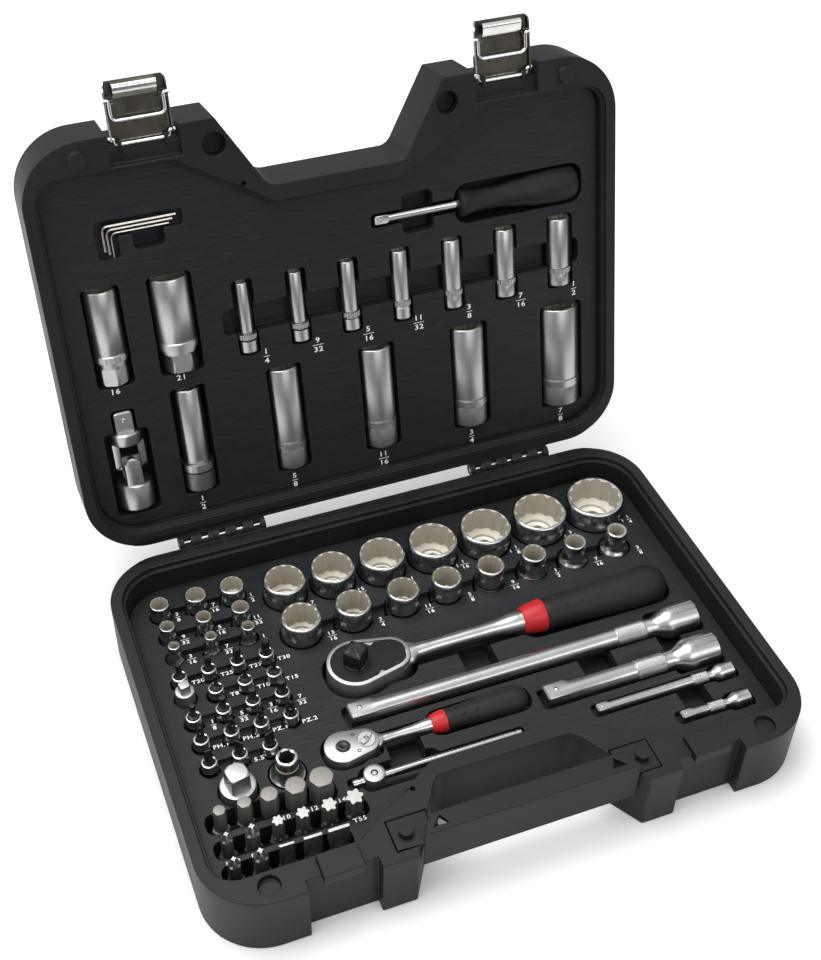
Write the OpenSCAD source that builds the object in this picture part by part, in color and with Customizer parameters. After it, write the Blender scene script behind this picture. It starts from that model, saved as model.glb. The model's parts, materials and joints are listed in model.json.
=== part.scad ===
// Socket wrench set in a hinged case: base, lid, draw latches, carrying handle and loose tools.
// Millimetres. X to the right, Y towards the hinge, Z up. The origin is the middle of the underside.

/* [Case] */
// Width of the closed case
case_w = 396; // [394:1:400]
// Depth of the closed case, front wall to back wall
case_d = 285; // [285:1:288]
// Height of the base
base_h = 47; // [47:1:50]
// Height of the lid
lid_h = 38; // [38:1:42]
// Radius of the case's corners in plan
corner_r = 40; // [30:1:44]
// Thickness of the case's floor and of the lid's roof
skin = 2.5; // [2:0.1:2.6]
// How far the lid stands open at rest, in degrees
lid_open = 103.3; // [95:0.1:110]

/* [Trays] */
// Depth of the base tray's face below the rim
base_tray_drop = 21; // [21:0.5:22]
// Depth of the lid tray's face below the rim
lid_tray_drop = 9; // [8.5:0.5:9]
// Thickness of the tray's moulded sheet
sheet = 1.5; // [1.2:0.1:1.6]

/* [Half inch tools] */
// Side of the half inch square drive
half_sq = 12.7; // [12.6:0.05:12.75]
// Height of the half inch sockets
half_socket_h = 37.9; // [36:0.1:38]
// Length of the half inch deep sockets
half_deep_h = 77; // [75:1:77]

/* [Quarter inch tools] */
// Side of the quarter inch square drive
quarter_sq = 6.35; // [6.3:0.05:6.4]
// Height of the quarter inch sockets
quarter_socket_h = 25; // [24:0.5:25]
// Length of the quarter inch deep sockets
quarter_deep_h = 50; // [48:1:50]

/* [Latches] */
// Width of a latch lever
lever_w = 39; // [36:1:40]
// Length of a latch lever beyond its pivot
lever_l = 33; // [30:1:34]
// Distance from the lever's pivot to the bail's pivot
bail_at = 23; // [22:0.5:23]
// Length of the wire bail
bail_l = 12.5; // [12:0.5:12.5]

/* [Hidden] */
$fn = 48;
eps = 0.01;
gap = 0.4;

rim_z = base_h;
lid_z = rim_z + gap;
front_y = -case_d / 2;
back_y = case_d / 2;
hinge_y = back_y + 5;
hinge_z = rim_z + gap / 2;
knuckle_r = 4.6;
knuckle_w = 12.2;
knuckle_pitch = 12.5;
hinge_x = 109.7;
pin_r = 1.6;

// The trapezoid notch behind the handle
notch_back_y = -94;
notch_back_half = 46;
notch_front_half = 75;

// The tray's outline and the rim around it
rim_w = 10;
tray_back_r = 28;
tray_back_y = back_y - 12.5;
tray_front_y = front_y + 24;
tray_notch_y = notch_back_y + 13.5;
tray_notch_half = 44;
tray_notch_end = 104;

// The latch recesses in the front wall
latch_x = 119;
recess_w = 44;
recess_y = front_y + 7.5;
pivot_y = front_y + 4.5;
wire_bar_y = recess_y + 0.9;
pivot_z = lid_z + 6.2;
wire_r = 1.2;
catch_z = pivot_z - bail_at + bail_l + wire_r + 0.1;
catch_back_y = recess_y + 11.6;

base_face_z = rim_z - base_tray_drop;
lid_face_z = lid_z + lid_tray_drop;
lid_top_z = lid_z + lid_h;
foot_z = skin + 0.3;
seat_z = foot_z + sheet + 0.3;
boss_x = 161;
boss_y = front_y + 12;
screw_x = 77;
screw_y = front_y + 16.5;

black = [0.09, 0.09, 0.095];
dark = [0.13, 0.13, 0.135];
chrome = [0.8, 0.8, 0.78];
satin = [0.68, 0.68, 0.67];
red = [0.78, 0.1, 0.12];
inch = 25.4;

// ---- shared shapes ----

module slab(low, high) {
    translate(low) cube(high - low);
}

module rod_x(x0, x1, r) {
    translate([x0, 0, 0]) rotate([0, 90, 0]) cylinder(r = r, h = x1 - x0);
}

module rod_y(y0, y1, r) {
    translate([0, y0, 0]) rotate([-90, 0, 0]) cylinder(r = r, h = y1 - y0);
}

module open_lid() {
    translate([0, hinge_y, hinge_z]) rotate([-lid_open, 0, 0]) translate([0, -hinge_y, -hinge_z])
        children();
}

module both_sides(x) {
    for (side = [-1, 1]) translate([side * x, 0, 0]) children();
}

// The twelve points of a socket's mouth, from its width across flats
module twelve_point(across) {
    circle(d = across / cos(30), $fn = 6);
    rotate(30) circle(d = across / cos(30), $fn = 6);
}

module square_hole(side, h) {
    translate([-side / 2, -side / 2, 0]) cube([side, side, h]);
}

// A bar with a square end, its edges broken to a circle
module square_drive(side, h) {
    intersection() {
        square_hole(side, h);
        translate([0, 0, -eps]) cylinder(d = side * 1.33, h = h + 2 * eps);
    }
}

// ---- outlines in plan ----

module rounded_box(x, y0, y1, r) {
    translate([-x + r, y0]) square([2 * (x - r), y1 - y0]);
    translate([-x, y0 + r]) square([2 * x, y1 - y0 - 2 * r]);
    for (sx = [-1, 1]) for (y = [y0 + r, y1 - r]) translate([sx * (x - r), y]) circle(r = r);
}

module slot2d(x0, x1, y, half, r) {
    translate([x0, y - half + r]) square([x1 - x0, 2 * (half - r)]);
    translate([x0 + r, y - half]) square([x1 - x0 - 2 * r, 2 * half]);
    for (x = [x0 + r, x1 - r]) for (sy = [-1, 1]) translate([x, y + sy * (half - r)]) circle(r = r);
}

module notch2d(extra = 0) {
    offset(r = 10 + extra) offset(delta = -10) polygon([
        [-notch_back_half, notch_back_y], [notch_back_half, notch_back_y],
        [notch_front_half + 12, front_y - 20], [-notch_front_half - 12, front_y - 20]
    ]);
}

module case2d() {
    difference() {
        rounded_box(case_w / 2, front_y, back_y, corner_r);
        notch2d();
        for (side = [-1, 1])
            translate([side * latch_x - recess_w / 2, front_y - 1])
                square([recess_w, recess_y - front_y + 1]);
    }
}

module tray2d(extra = 0) {
    side = case_w / 2 - rim_w;
    intersection() {
        offset(r = 14 + extra) offset(delta = -14) polygon([
            [-side, tray_back_y], [side, tray_back_y], [side, tray_front_y], [tray_notch_end, tray_front_y],
            [tray_notch_half, tray_notch_y], [-tray_notch_half, tray_notch_y],
            [-tray_notch_end, tray_front_y], [-side, tray_front_y]
        ]);
        rounded_box(side + extra, tray_front_y - 60, tray_back_y + extra, tray_back_r + extra);
    }
}

// ---- where the tools lie ----

half_back_d = [29.5, 31.1, 33, 35.2, 37, 39, 42];
half_back_af = [7 / 8, 15 / 16, 1, 17 / 16, 9 / 8, 19 / 16, 5 / 4];
half_back_y = 95;
half_back_gap = 4.3;
function row_x(d, start, between, i) =
    i == 0 ? start : row_x(d, start, between, i - 1) + (d[i - 1] + d[i]) / 2 + between;
half_back_x = [for (i = [0:6]) row_x(half_back_d, -81, half_back_gap, i)];

half_front_d = [27.8, 25.3, 23, 21.4, 20, 18, 16, 15];
half_front_af = [13 / 16, 3 / 4, 11 / 16, 5 / 8, 9 / 16, 1 / 2, 7 / 16, 3 / 8];
half_front_x = [-81, -44, -8, 24, 57, 90, 122, 155];
half_front_y = 58.5;
half_foot_d = 21;

quarter_x = [-166, -141, -115.5];
quarter_y = [105.5, 84.5, 66.5];
quarter_d = [[13.5, 14.8, 17.2], [10.8, 11.4, 12.8], [8.2, 8.7, 9.6]];
quarter_af = [[3 / 8, 7 / 16, 1 / 2], [9 / 32, 5 / 16, 11 / 32], [3 / 16, 7 / 32, 1 / 4]];
quarter_foot_d = 12;
quarter_seat_z = base_face_z - 12;

bit_x = [-168.5, -149, -129.5, -110];
bit_y = [44.5, 27, 9.5, -9, -27.5];
bit_first = [0, 1, 0, 0, 0];
bit_last = [3, 3, 3, 3, 2];
bit_d = 10.6;
bit_seat_z = 14;
bit_socket_h = 20;
bit_af = 6.35;
bit_places = [for (r = [0:4]) for (c = [bit_first[r]:bit_last[r]]) [bit_x[c], bit_y[r], r, c]];

quarter_adapter_at = [-168.5, 33];
half_adapter_at = [-156.5, -48.5];
holder_at = [-124.5, -47];
adapter_seat_z = 12;

loose_y = [-67, -86, -103.5];
hex_bit_x = [-173, -157.5, -142, -125.5, -109];
hex_bit_af = [7, 8, 10, 12, 14];
star_bit_x = [-174, -158.5, -142.5, -127, -110.5, -94.5];
star_bit_d = [7, 8, 7.5, 8.5, 9.5, 11.5];
slot_bit_x = [-174.5, -158.5, -142.5, -126.5, -110.5];
slot_bit_w = [7, 7.5, 9, 11, 13];
shank_af = 10;
bit_shank_h = 12;
loose_top_z = rim_z - 8;
loose_seat_z = 8;

ratchet_half_at = [-58, 14, 29.5];
ratchet_half_end = 170;
ratchet_quarter_at = [-87, -43.5, 26];
ratchet_quarter_end = 39;
ext_250_at = [-75, -20, 27];
ext_125_at = [49, -50.5, 27];
ext_100_at = [76.5, -70.5, 26];
ext_50_at = [125, -94.5, 26];
t_rod_at = [-90, -69, 25.5];
t_rod_l = 114;
t_rod_r = 2.8;
t_slider_x = -75.5;
t_slider_r = 7;

plug_x = [-161, -116.5];
plug_y = -43.5;
plug_h = 66;
plug_r = [11.2, 13.4];
plug_hex = [19, 22];
joint_at = [-161, 82.5];
joint_r = 12.4;
quarter_deep_x = [-70, -33.5, 3, 40, 78, 117.5, 159];
quarter_deep_af = [1 / 4, 9 / 32, 5 / 16, 11 / 32, 3 / 8, 7 / 16, 1 / 2];
quarter_deep_d = [8.6, 9.6, 10.6, 11.8, 13, 14.6, 16.6];
quarter_deep_y = -29.5;
half_deep_x = [-116, -49, 18, 87, 159];
half_deep_af = [1 / 2, 5 / 8, 11 / 16, 3 / 4, 7 / 8];
half_deep_d = [18, 22.2, 24, 26, 30];
half_deep_y = 37.5;
half_deep_foot_d = 22;
big_axis_z = lid_face_z + 7;
small_axis_z = lid_face_z + 3.5;
spinner_at = [25, -53, lid_face_z + 3.5];
spinner_end = 173;
key_corner = [-152.5, -83.5];
key_long = 47;
key_short = 16;
key_pitch = 2.5;
key_r = [1.05, 0.9, 0.75];

// ---- pockets: each takes how much wider and deeper it is cut, so a cup grows around it ----

module well(x, y, r, z, g) {
    translate([x, y, z - g]) cylinder(r = r + g, h = base_face_z + 1 - z + g);
}

module channel(x0, x1, y, half, z, g, r = 3) {
    translate([0, 0, z - g]) linear_extrude(base_face_z + 1 - z + g)
        slot2d(x0 - g, x1 + g, y, half + g, r + g);
}

module base_socket_pockets(g) {
    for (i = [0:6]) well(half_back_x[i], half_back_y, half_back_d[i] / 2 + 0.9, seat_z - 0.3, g);
    for (i = [0:7])
        well(half_front_x[i], half_front_y, max(half_front_d[i], half_foot_d) / 2 + 1, seat_z - 0.3, g);
    for (r = [0:2]) for (c = [0:2])
        well(quarter_x[c], quarter_y[r], max(quarter_d[r][c], quarter_foot_d) / 2 + 0.9,
             quarter_seat_z - 0.3, g);
    channel(-85, 159, half_front_y, 5.5, base_face_z - 6, g, 5);
    for (y = quarter_y) channel(-168, -113, y, 4.5, base_face_z - 5, g, 4);
}

module base_bit_pockets(g) {
    for (p = bit_places) well(p[0], p[1], bit_d / 2 + 1.3, bit_seat_z - 0.3, g);
    for (r = [0:4])
        channel(bit_x[bit_first[r]] - 2, bit_x[bit_last[r]] + 2, bit_y[r], 4.5, base_face_z - 5, g, 4);
    well(quarter_adapter_at[0], quarter_adapter_at[1] - 2, 7.6, adapter_seat_z - 0.3, g);
    well(half_adapter_at[0], half_adapter_at[1], 12.6, adapter_seat_z - 0.3, g);
    well(holder_at[0], holder_at[1], 12.2, adapter_seat_z - 0.3, g);
    channel(-182, -100, loose_y[0], 7.4, loose_seat_z - 0.3, g, 5);
    channel(-182, -86, loose_y[1], 6.6, loose_seat_z - 0.3, g, 5);
    channel(-182, -102, loose_y[2], 6.6, loose_seat_z - 0.3, g, 5);
}

module base_tool_pockets(g) {
    x = ratchet_half_at[0];
    channel(x - 21.5, x + 24, ratchet_half_at[1], 21.5, 9.5, g, 19);
    channel(x + 4, x + 41, ratchet_half_at[1], 17, 9.5, g, 12);
    channel(x + 10, 66, ratchet_half_at[1], 9, 20, g, 4);
    channel(58, ratchet_half_end + 2.5, ratchet_half_at[1], 15, 13.5, g, 13);
    q = ratchet_quarter_at[0];
    channel(q - 13.8, q + 17, ratchet_quarter_at[1], 13.8, 12, g, 12);
    channel(q + 4, q + 26, ratchet_quarter_at[1], 11.2, 12, g, 8);
    channel(q + 10, -24, ratchet_quarter_at[1], 6, 18, g, 3);
    channel(-30, ratchet_quarter_end + 2.5, ratchet_quarter_at[1], 10.5, 15, g, 9);
    extension_pocket(ext_250_at, 250, half_sq, g);
    extension_pocket(ext_125_at, 125, half_sq, g);
    extension_pocket(ext_100_at, 100, quarter_sq, g);
    extension_pocket(ext_50_at, 50, quarter_sq, g);
    channel(t_rod_at[0] - 2.5, t_rod_at[0] + t_rod_l + 2.5, t_rod_at[1], 4.4, 20, g, 3);
    channel(t_slider_x - 9, t_slider_x + 45, t_rod_at[1], 9.2, 17, g, 6);
    // finger wells
    channel(11, 34, -4, 16, 12, g, 4);
    channel(83, 107, -36, 14, 12, g, 4);
    channel(142, 158, -36, 14, 14, g, 4);
    channel(-61, -38, -57, 12, 12, g, 4);
    channel(132, 152, -82, 12, 13, g, 4);
}

function end_r(side) = side * 0.87;
function bar_r(side) = side * 0.53;

module extension_pocket(at, l, side, g) {
    e = end_r(side);
    channel(at[0] - 3, at[0] + l + 3, at[1], bar_r(side) + 1.6, at[2] - bar_r(side) - 1, g, 3);
    channel(at[0] + l - 2.6 * side, at[0] + l + 3, at[1], e + 1.6, at[2] - e - 0.8, g, 4);
}

module base_pockets(g) {
    base_socket_pockets(g);
    base_bit_pockets(g);
    base_tool_pockets(g);
}

module lid_well(x0, x1, y0, y1, depth, g, r = 3) {
    translate([0, 0, lid_face_z - 1]) linear_extrude(depth + 1 + g)
        slot2d(x0 - g, x1 + g, (y0 + y1) / 2, (y1 - y0) / 2 + g, r + g);
}

module lid_pockets(g) {
    for (i = [0:1])
        lid_well(plug_x[i] - plug_r[i] - 1.2, plug_x[i] + plug_r[i] + 1.2, plug_y - 2, plug_y + plug_h + 2,
                 7 + plug_r[i] + 0.8, g);
    lid_well(joint_at[0] - 15, joint_at[0] + 15, joint_at[1] - 25, joint_at[1] + 38.5, 20.7, g, 3);
    lid_well(joint_at[0] - 8, joint_at[0] + 8, joint_at[1] - 41, joint_at[1] - 20, 16, g, 3);
    for (i = [0:6]) {
        r = max(quarter_deep_d[i], quarter_foot_d) / 2 + 1.3;
        lid_well(quarter_deep_x[i] - r, quarter_deep_x[i] + r, quarter_deep_y - 2,
                 quarter_deep_y + quarter_deep_h + 2, 3.5 + r, g);
    }
    lid_well(quarter_deep_x[0] - 16, quarter_deep_x[6] + 14, -13, 6, 9, g, 5);
    for (i = [0:4]) {
        r = max(half_deep_d[i], half_deep_foot_d) / 2 + 1.2;
        lid_well(half_deep_x[i] - r, half_deep_x[i] + r, half_deep_y - 2, half_deep_y + half_deep_h + 2,
                 7 + r - 0.4, g);
    }
    lid_well(spinner_at[0] - 3, 90, spinner_at[1] - 5, spinner_at[1] + 5, 8, g);
    lid_well(82, spinner_end + 3, spinner_at[1] - 14, spinner_at[1] + 14, 17.5, g, 9);
    lid_well(44, 66, spinner_at[1] - 15, spinner_at[1] + 13, 12, g, 4);
    lid_well(key_corner[0] - 5, key_corner[0] + key_long + 4, key_corner[1] - 4, key_corner[1] + 7, 5, g);
    lid_well(key_corner[0] - 5, key_corner[0] + 9, key_corner[1] - 4, key_corner[1] + key_short + 5, 5, g);
    lid_well(key_corner[0] + 18, key_corner[0] + 38, key_corner[1] - 4, key_corner[1] + 18, 10, g, 4);
}

// ---- case ----

module knuckles(first, z0, z1) {
    for (side = [-1, 1]) for (i = [first:2:4]) {
        x = side * hinge_x + (i - 2) * knuckle_pitch - knuckle_w / 2;
        translate([0, hinge_y, hinge_z]) rod_x(x, x + knuckle_w, knuckle_r);
        slab([x, back_y - 1, z0], [x + knuckle_w, hinge_y, z1]);
    }
}

module knuckle_cuts(first, up) {
    for (side = [-1, 1]) {
        translate([0, hinge_y, hinge_z]) rod_x(side * hinge_x - 32, side * hinge_x + 32, pin_r + 0.08);
        for (i = [first:2:4]) {
            x = side * hinge_x + (i - 2) * knuckle_pitch;
            slab([x - 2.5, hinge_y - 8, hinge_z + min(up, up * 6)],
                 [x + 2.5, hinge_y + 1.2, hinge_z + max(up, up * 6)]);
        }
    }
}

module catch_block() {
    slab([-12.5, recess_y - 5, rim_z - 9], [12.5, catch_back_y, rim_z]);
    slab([-12.5, recess_y - 5, catch_z], [12.5, catch_back_y, rim_z + 4.6]);
}

module base_shell() {
    color(black) difference() {
        union() {
            difference() {
                linear_extrude(base_h) case2d();
                translate([0, 0, skin]) linear_extrude(base_h) tray2d(0.3);
                translate([0, 0, rim_z - 4]) linear_extrude(base_h) tray2d(2.4);
            }
            knuckles(1, hinge_z - knuckle_r, hinge_z - 0.4);
            both_sides(latch_x) catch_block();
        }
        knuckle_cuts(1, 1);
        both_sides(latch_x) slab([-20, recess_y - 6, rim_z - 10], [20, recess_y, catch_z]);
        both_sides(boss_x) translate([0, boss_y, rim_z - 4]) cylinder(r = 6.6, h = 5);
        both_sides(screw_x) translate([0, screw_y, rim_z - 30]) cylinder(r = 2.6, h = 31);
        handle_seat();
        translate([-62, -98, rim_z - 6]) cylinder(r = 1.5, h = 7);
    }
}

module handle_seat() {
    both_sides(73) slab([-13, front_y + 6.5, rim_z - 3], [13, front_y + 28.5, rim_z + 1]);
}

module base_tray() {
    color(dark) difference() {
        intersection() {
            translate([0, 0, foot_z]) linear_extrude(base_face_z - foot_z) tray2d();
            union() {
                translate([0, 0, base_face_z - 2.4]) linear_extrude(3) tray2d(1);
                base_pockets(sheet);
                tray_skirt();
            }
        }
        base_pockets(0);
    }
}

module tray_skirt() {
    translate([0, 0, foot_z]) linear_extrude(base_face_z - foot_z) difference() {
        tray2d(1);
        tray2d(-2);
    }
}

module lid_shell() {
    color(black) open_lid() difference() {
        union() {
            lid_body();
            both_sides(latch_x) wire_lugs();
        }
        both_sides(latch_x) translate([0, wire_bar_y, pivot_z]) rod_x(-18, 18, wire_r + 0.06);
    }
}

module lid_body() {
    difference() {
        union() {
            difference() {
                translate([0, 0, lid_z]) linear_extrude(lid_h) case2d();
                translate([0, 0, lid_z - skin]) linear_extrude(lid_h) tray2d(0.3);
                translate([0, 0, lid_z - 1]) linear_extrude(4) tray2d(2.4);
            }
            knuckles(0, hinge_z + 0.4, hinge_z + knuckle_r);
            both_sides(boss_x) translate([0, boss_y, lid_z - 3]) cylinder(r = 5.8, h = 4);
        }
        knuckle_cuts(0, -1);
        both_sides(latch_x)
            slab([-recess_w / 2, front_y - 1, lid_z - 1], [recess_w / 2, catch_back_y + 0.6, lid_z + 5.4]);
        both_sides(latch_x)
            slab([-recess_w / 2, front_y - 1, lid_z - 1], [recess_w / 2, recess_y + 3, lid_z + 16]);
        both_sides(screw_x) translate([0, screw_y, lid_z - 1]) cylinder(r = 7.4, h = 10);
        translate([-62, -98, lid_z - 1]) cylinder(r = 1.5, h = 7);
    }
}

// Two lugs that hold the latch's wire
module wire_lugs() {
    for (side = [-1, 1])
        slab([min(side * 13.2, side * 15.5), wire_bar_y - 2.6, pivot_z - 2.6],
             [max(side * 13.2, side * 15.5), recess_y + 5, pivot_z + 2.6]);
}

module lid_tray() {
    color(dark) open_lid() difference() {
        intersection() {
            translate([0, 0, lid_face_z]) linear_extrude(lid_top_z - skin - 0.3 - lid_face_z) tray2d();
            union() {
                translate([0, 0, lid_face_z]) linear_extrude(2.4) tray2d(1);
                lid_pockets(sheet);
            }
        }
        lid_pockets(0);
    }
}

module hinge_pins() {
    color(chrome) both_sides(hinge_x) translate([0, hinge_y, hinge_z]) rod_x(-31, 31, pin_r);
}

// The grip is a channel bar with a flat tab at each end
module carry_handle() {
    bar_front = front_y + 5.5;
    bar_back = bar_front + 13.5;
    low = rim_z - 21.5;
    high = rim_z + 9.8;
    color(black) difference() {
        union() {
            difference() {
                translate([0, 0, low]) linear_extrude(high - low)
                    polygon([[-70, bar_front], [70, bar_front], [62, bar_back], [-62, bar_back]]);
                slab([-72, bar_front + 3, low + 3], [72, bar_back + 1, high - 3]);
            }
            for (side = [-1, 1]) handle_tab(side);
        }
        for (side = [-1, 1]) {
            translate([side * screw_x, screw_y, rim_z - 4]) cylinder(r = 2.7, h = 6);
            translate([0, 0, high - 4]) linear_extrude(5)
                polygon([
                    [side * 62, bar_front + 4], [side * 53, bar_front + 4], [side * 56.5, bar_back - 3]
                ]);
        }
    }
}

module handle_tab(side) {
    x0 = min(side * 60.5, side * 85.5);
    x1 = max(side * 60.5, side * 85.5);
    slab([x0, front_y + 7, rim_z - 2.6], [x1, front_y + 28, rim_z]);
    translate([0, 0, rim_z - 21.5]) linear_extrude(22) polygon([
        [side * 57, front_y + 5.5], [side * 70, front_y + 5.5],
        [side * 62, front_y + 19], [side * 57, front_y + 19]
    ]);
}

module handle_screws() {
    color(black) both_sides(screw_x) translate([0, screw_y, rim_z + 0.1]) {
        cylinder(r = 4.6, h = 4, $fn = 6);
        translate([0, 0, -24]) cylinder(r = 2.5, h = 24.5);
    }
}

// ---- latches, laid out with the lid closed and the lever standing straight out ----

module latch_wire() {
    translate([0, wire_bar_y, pivot_z]) rod_x(-17, 17, wire_r);
    for (side = [-1, 1]) translate([side * 17, 0, pivot_z]) {
        translate([0, wire_bar_y, 0]) sphere(r = wire_r);
        rod_y(pivot_y, wire_bar_y, wire_r);
        translate([0, pivot_y, 0]) sphere(r = wire_r);
        translate([0, pivot_y, 0]) rod_x(min(0, side * 3.5), max(0, side * 3.5), wire_r);
    }
}

module latch_wires() {
    color(chrome) open_lid() both_sides(latch_x) latch_wire();
}

module latch_lever() {
    tip = pivot_y - lever_l;
    plate = pivot_z + 4.5;
    half = lever_w / 2;
    difference() {
        union() {
            slab([-half, tip, plate - 1], [half, pivot_y + 3, plate]);
            for (side = [-1, 1]) {
                x0 = side < 0 ? -half : half - 1;
                slab([x0, tip, pivot_z - 1.5], [x0 + 1, pivot_y + 3, plate]);
                slab([x0, pivot_y - bail_at - 3, pivot_z - 2.6], [x0 + 1, pivot_y - bail_at + 3, pivot_z]);
            }
            // rolled end
            translate([0, tip + 3, plate - 3.5]) rod_x(-13, 13, 3.5);
        }
        translate([0, pivot_y, pivot_z]) rod_x(-half - 1, half + 1, wire_r + 0.1);
        translate([0, pivot_y - bail_at, pivot_z]) rod_x(-half - 1, half + 1, wire_r + 0.1);
        translate([0, tip + 3, plate - 3.5]) rod_x(-14, 14, 2.4);
    }
}

module latch_lever_left() {
    color(chrome) open_lid() translate([-latch_x, 0, 0]) latch_lever();
}

module latch_lever_right() {
    color(chrome) open_lid() translate([latch_x, 0, 0]) latch_lever();
}

module latch_bail() {
    y = pivot_y - bail_at;
    half = lever_w / 2 - 3;
    translate([0, y + bail_l, pivot_z]) rod_x(-half, half, wire_r);
    for (side = [-1, 1]) {
        translate([side * half, y, pivot_z]) rod_y(0, bail_l, wire_r);
        translate([side * half, y, pivot_z]) sphere(r = wire_r);
        translate([side * half, y + bail_l, pivot_z]) sphere(r = wire_r);
        translate([0, y, pivot_z])
            rod_x(min(side * half, side * (half + 3.5)), max(side * half, side * (half + 3.5)), wire_r);
    }
}

module latch_bail_left() {
    color(chrome) open_lid() translate([-latch_x, 0, 0]) latch_bail();
}

module latch_bail_right() {
    color(chrome) open_lid() translate([latch_x, 0, 0]) latch_bail();
}

// ---- sockets ----

// A socket standing on its drive end; a narrow one has a wider foot
module socket(d, across, h, foot_d, foot_h, sq) {
    drive_h = h * 0.4;
    difference() {
        union() {
            cylinder(d = d, h = h);
            if (foot_d > d) {
                cylinder(d = foot_d, h = foot_h);
                translate([0, 0, foot_h - eps]) cylinder(d1 = foot_d, d2 = d, h = (foot_d - d) * 0.7 + 1);
            }
        }
        translate([0, 0, h * 0.5]) linear_extrude(h) twelve_point(across * inch + 0.2);
        translate([0, 0, drive_h]) cylinder(d = min(across * inch * 0.8, d - 4), h = h * 0.2);
        translate([0, 0, -eps]) square_hole(sq, drive_h + 1);
    }
}

module half_sockets_back() {
    color(chrome) for (i = [0:6]) translate([half_back_x[i], half_back_y, seat_z])
        socket(half_back_d[i], half_back_af[i], half_socket_h, 0, 0, half_sq + 0.15);
}

module half_sockets_front() {
    color(chrome) for (i = [0:7]) translate([half_front_x[i], half_front_y, seat_z])
        socket(half_front_d[i], half_front_af[i], half_socket_h, half_foot_d, base_face_z - seat_z - 1,
               half_sq + 0.15);
}

module quarter_sockets() {
    color(chrome) for (r = [0:2]) for (c = [0:2]) translate([quarter_x[c], quarter_y[r], quarter_seat_z])
        socket(quarter_d[r][c], quarter_af[r][c], quarter_socket_h, quarter_foot_d,
                   base_face_z - quarter_seat_z - 1, quarter_sq + 0.1);
}

module bit_sockets() {
    color(chrome) for (p = bit_places) translate([p[0], p[1], bit_seat_z]) difference() {
        cylinder(d = bit_d, h = bit_socket_h);
        translate([0, 0, 9]) cylinder(d = (bit_af + 0.2) / cos(30), h = 20, $fn = 6);
        translate([0, 0, -eps]) square_hole(quarter_sq + 0.1, 8);
    }
}

// A bit's shank with a narrower tip of the given section
module bit(af, shank_h, tip_d, h, sides) {
    cylinder(d = af / cos(30), h = shank_h, $fn = 6);
    translate([0, 0, shank_h - eps]) cylinder(d = tip_d, h = h - shank_h + eps, $fn = sides);
}

module bit_socket_bits() {
    color(dark) for (p = bit_places) translate([p[0], p[1], bit_seat_z + 9.3])
        bit(bit_af, 13, 3 + 0.5 * p[3], 21.5, p[2] == 2 ? 6 : 16);
}

// Loose bits stand on their 10 mm hexagon shanks
module loose_bit(tip_d, h, sides) {
    cylinder(d = shank_af / cos(30), h = bit_shank_h, $fn = 6);
    translate([0, 0, bit_shank_h - eps]) cylinder(d = tip_d, h = h - bit_shank_h + eps, $fn = sides);
}

module hex_bits() {
    color(satin) for (i = [0:4]) translate([hex_bit_x[i], loose_y[0], loose_seat_z])
        loose_bit(hex_bit_af[i] / cos(30), loose_top_z - loose_seat_z + i * 0.6, 6);
}

module star_bits() {
    color(dark) for (i = [0:5]) translate([star_bit_x[i], loose_y[1], loose_seat_z])
        loose_bit(star_bit_d[i], loose_top_z - loose_seat_z, 24);
}

module slotted_bits() {
    color(dark) for (i = [0:4]) translate([slot_bit_x[i], loose_y[2], loose_seat_z]) {
        if (i < 2) loose_bit(slot_bit_w[i], loose_top_z - loose_seat_z, 24);
        else {
            cylinder(d = shank_af / cos(30), h = bit_shank_h, $fn = 6);
            slab([-slot_bit_w[i] / 2, -1, bit_shank_h - eps],
                 [slot_bit_w[i] / 2, 1, loose_top_z - loose_seat_z]);
        }
    }
}

module half_adapter() {
    color(chrome) translate([half_adapter_at[0], half_adapter_at[1], adapter_seat_z]) difference() {
        union() {
            cylinder(d = 22.8, h = 20);
            translate([0, 0, 20 - eps]) square_drive(half_sq, 13);
        }
        translate([0, 0, -eps]) square_hole(9.6, 12);
    }
}

module quarter_adapter() {
    x = quarter_adapter_at[0];
    y = quarter_adapter_at[1] - 2;
    color(chrome) translate([x, y, adapter_seat_z]) difference() {
        union() {
            cylinder(d = 13, h = 20);
            translate([0, 0, 20 - eps]) square_drive(quarter_sq, 9);
        }
        translate([0, 0, -eps]) square_hole(quarter_sq + 0.1, 9);
    }
}

module bit_holder() {
    color(chrome) translate([holder_at[0], holder_at[1], adapter_seat_z]) difference() {
        union() {
            cylinder(d = 22, h = 14);
            translate([0, 0, 14 - eps]) cylinder(d1 = 22, d2 = 13.8, h = 6);
            cylinder(d = 13.8, h = 31);
        }
        translate([0, 0, 17]) cylinder(d = 10.1 / cos(30), h = 20, $fn = 6);
        translate([0, 0, -eps]) square_hole(half_sq + 0.1, 14);
    }
}

// ---- half inch ratchet: drive square up, reversing lever underneath ----

half_head_r = 19.4;
half_head_h = 18;
half_lobe_at = 23.5;
half_lobe_r = 14.2;
half_drive_l = 15.7;
half_drive_turn = 24.4;
half_gear_r = 11.5;
half_teeth = 36;

// A head's outline: a large circle at the drive and a smaller one towards the handle
module head2d(r, lobe_at, lobe_r, inset = 0) {
    hull() {
        circle(r = r - inset, $fn = 64);
        translate([lobe_at, 0]) circle(r = lobe_r - inset, $fn = 48);
    }
}

module gear2d(r, teeth, depth) {
    polygon([
        for (i = [0:2 * teeth - 1])
            let (a = i * 180 / teeth, q = r - (i % 2) * depth) [q * cos(a), q * sin(a)]
    ]);
}

module at_half_ratchet() {
    translate([ratchet_half_at[0], ratchet_half_at[1], ratchet_half_at[2]]) children();
}

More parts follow.
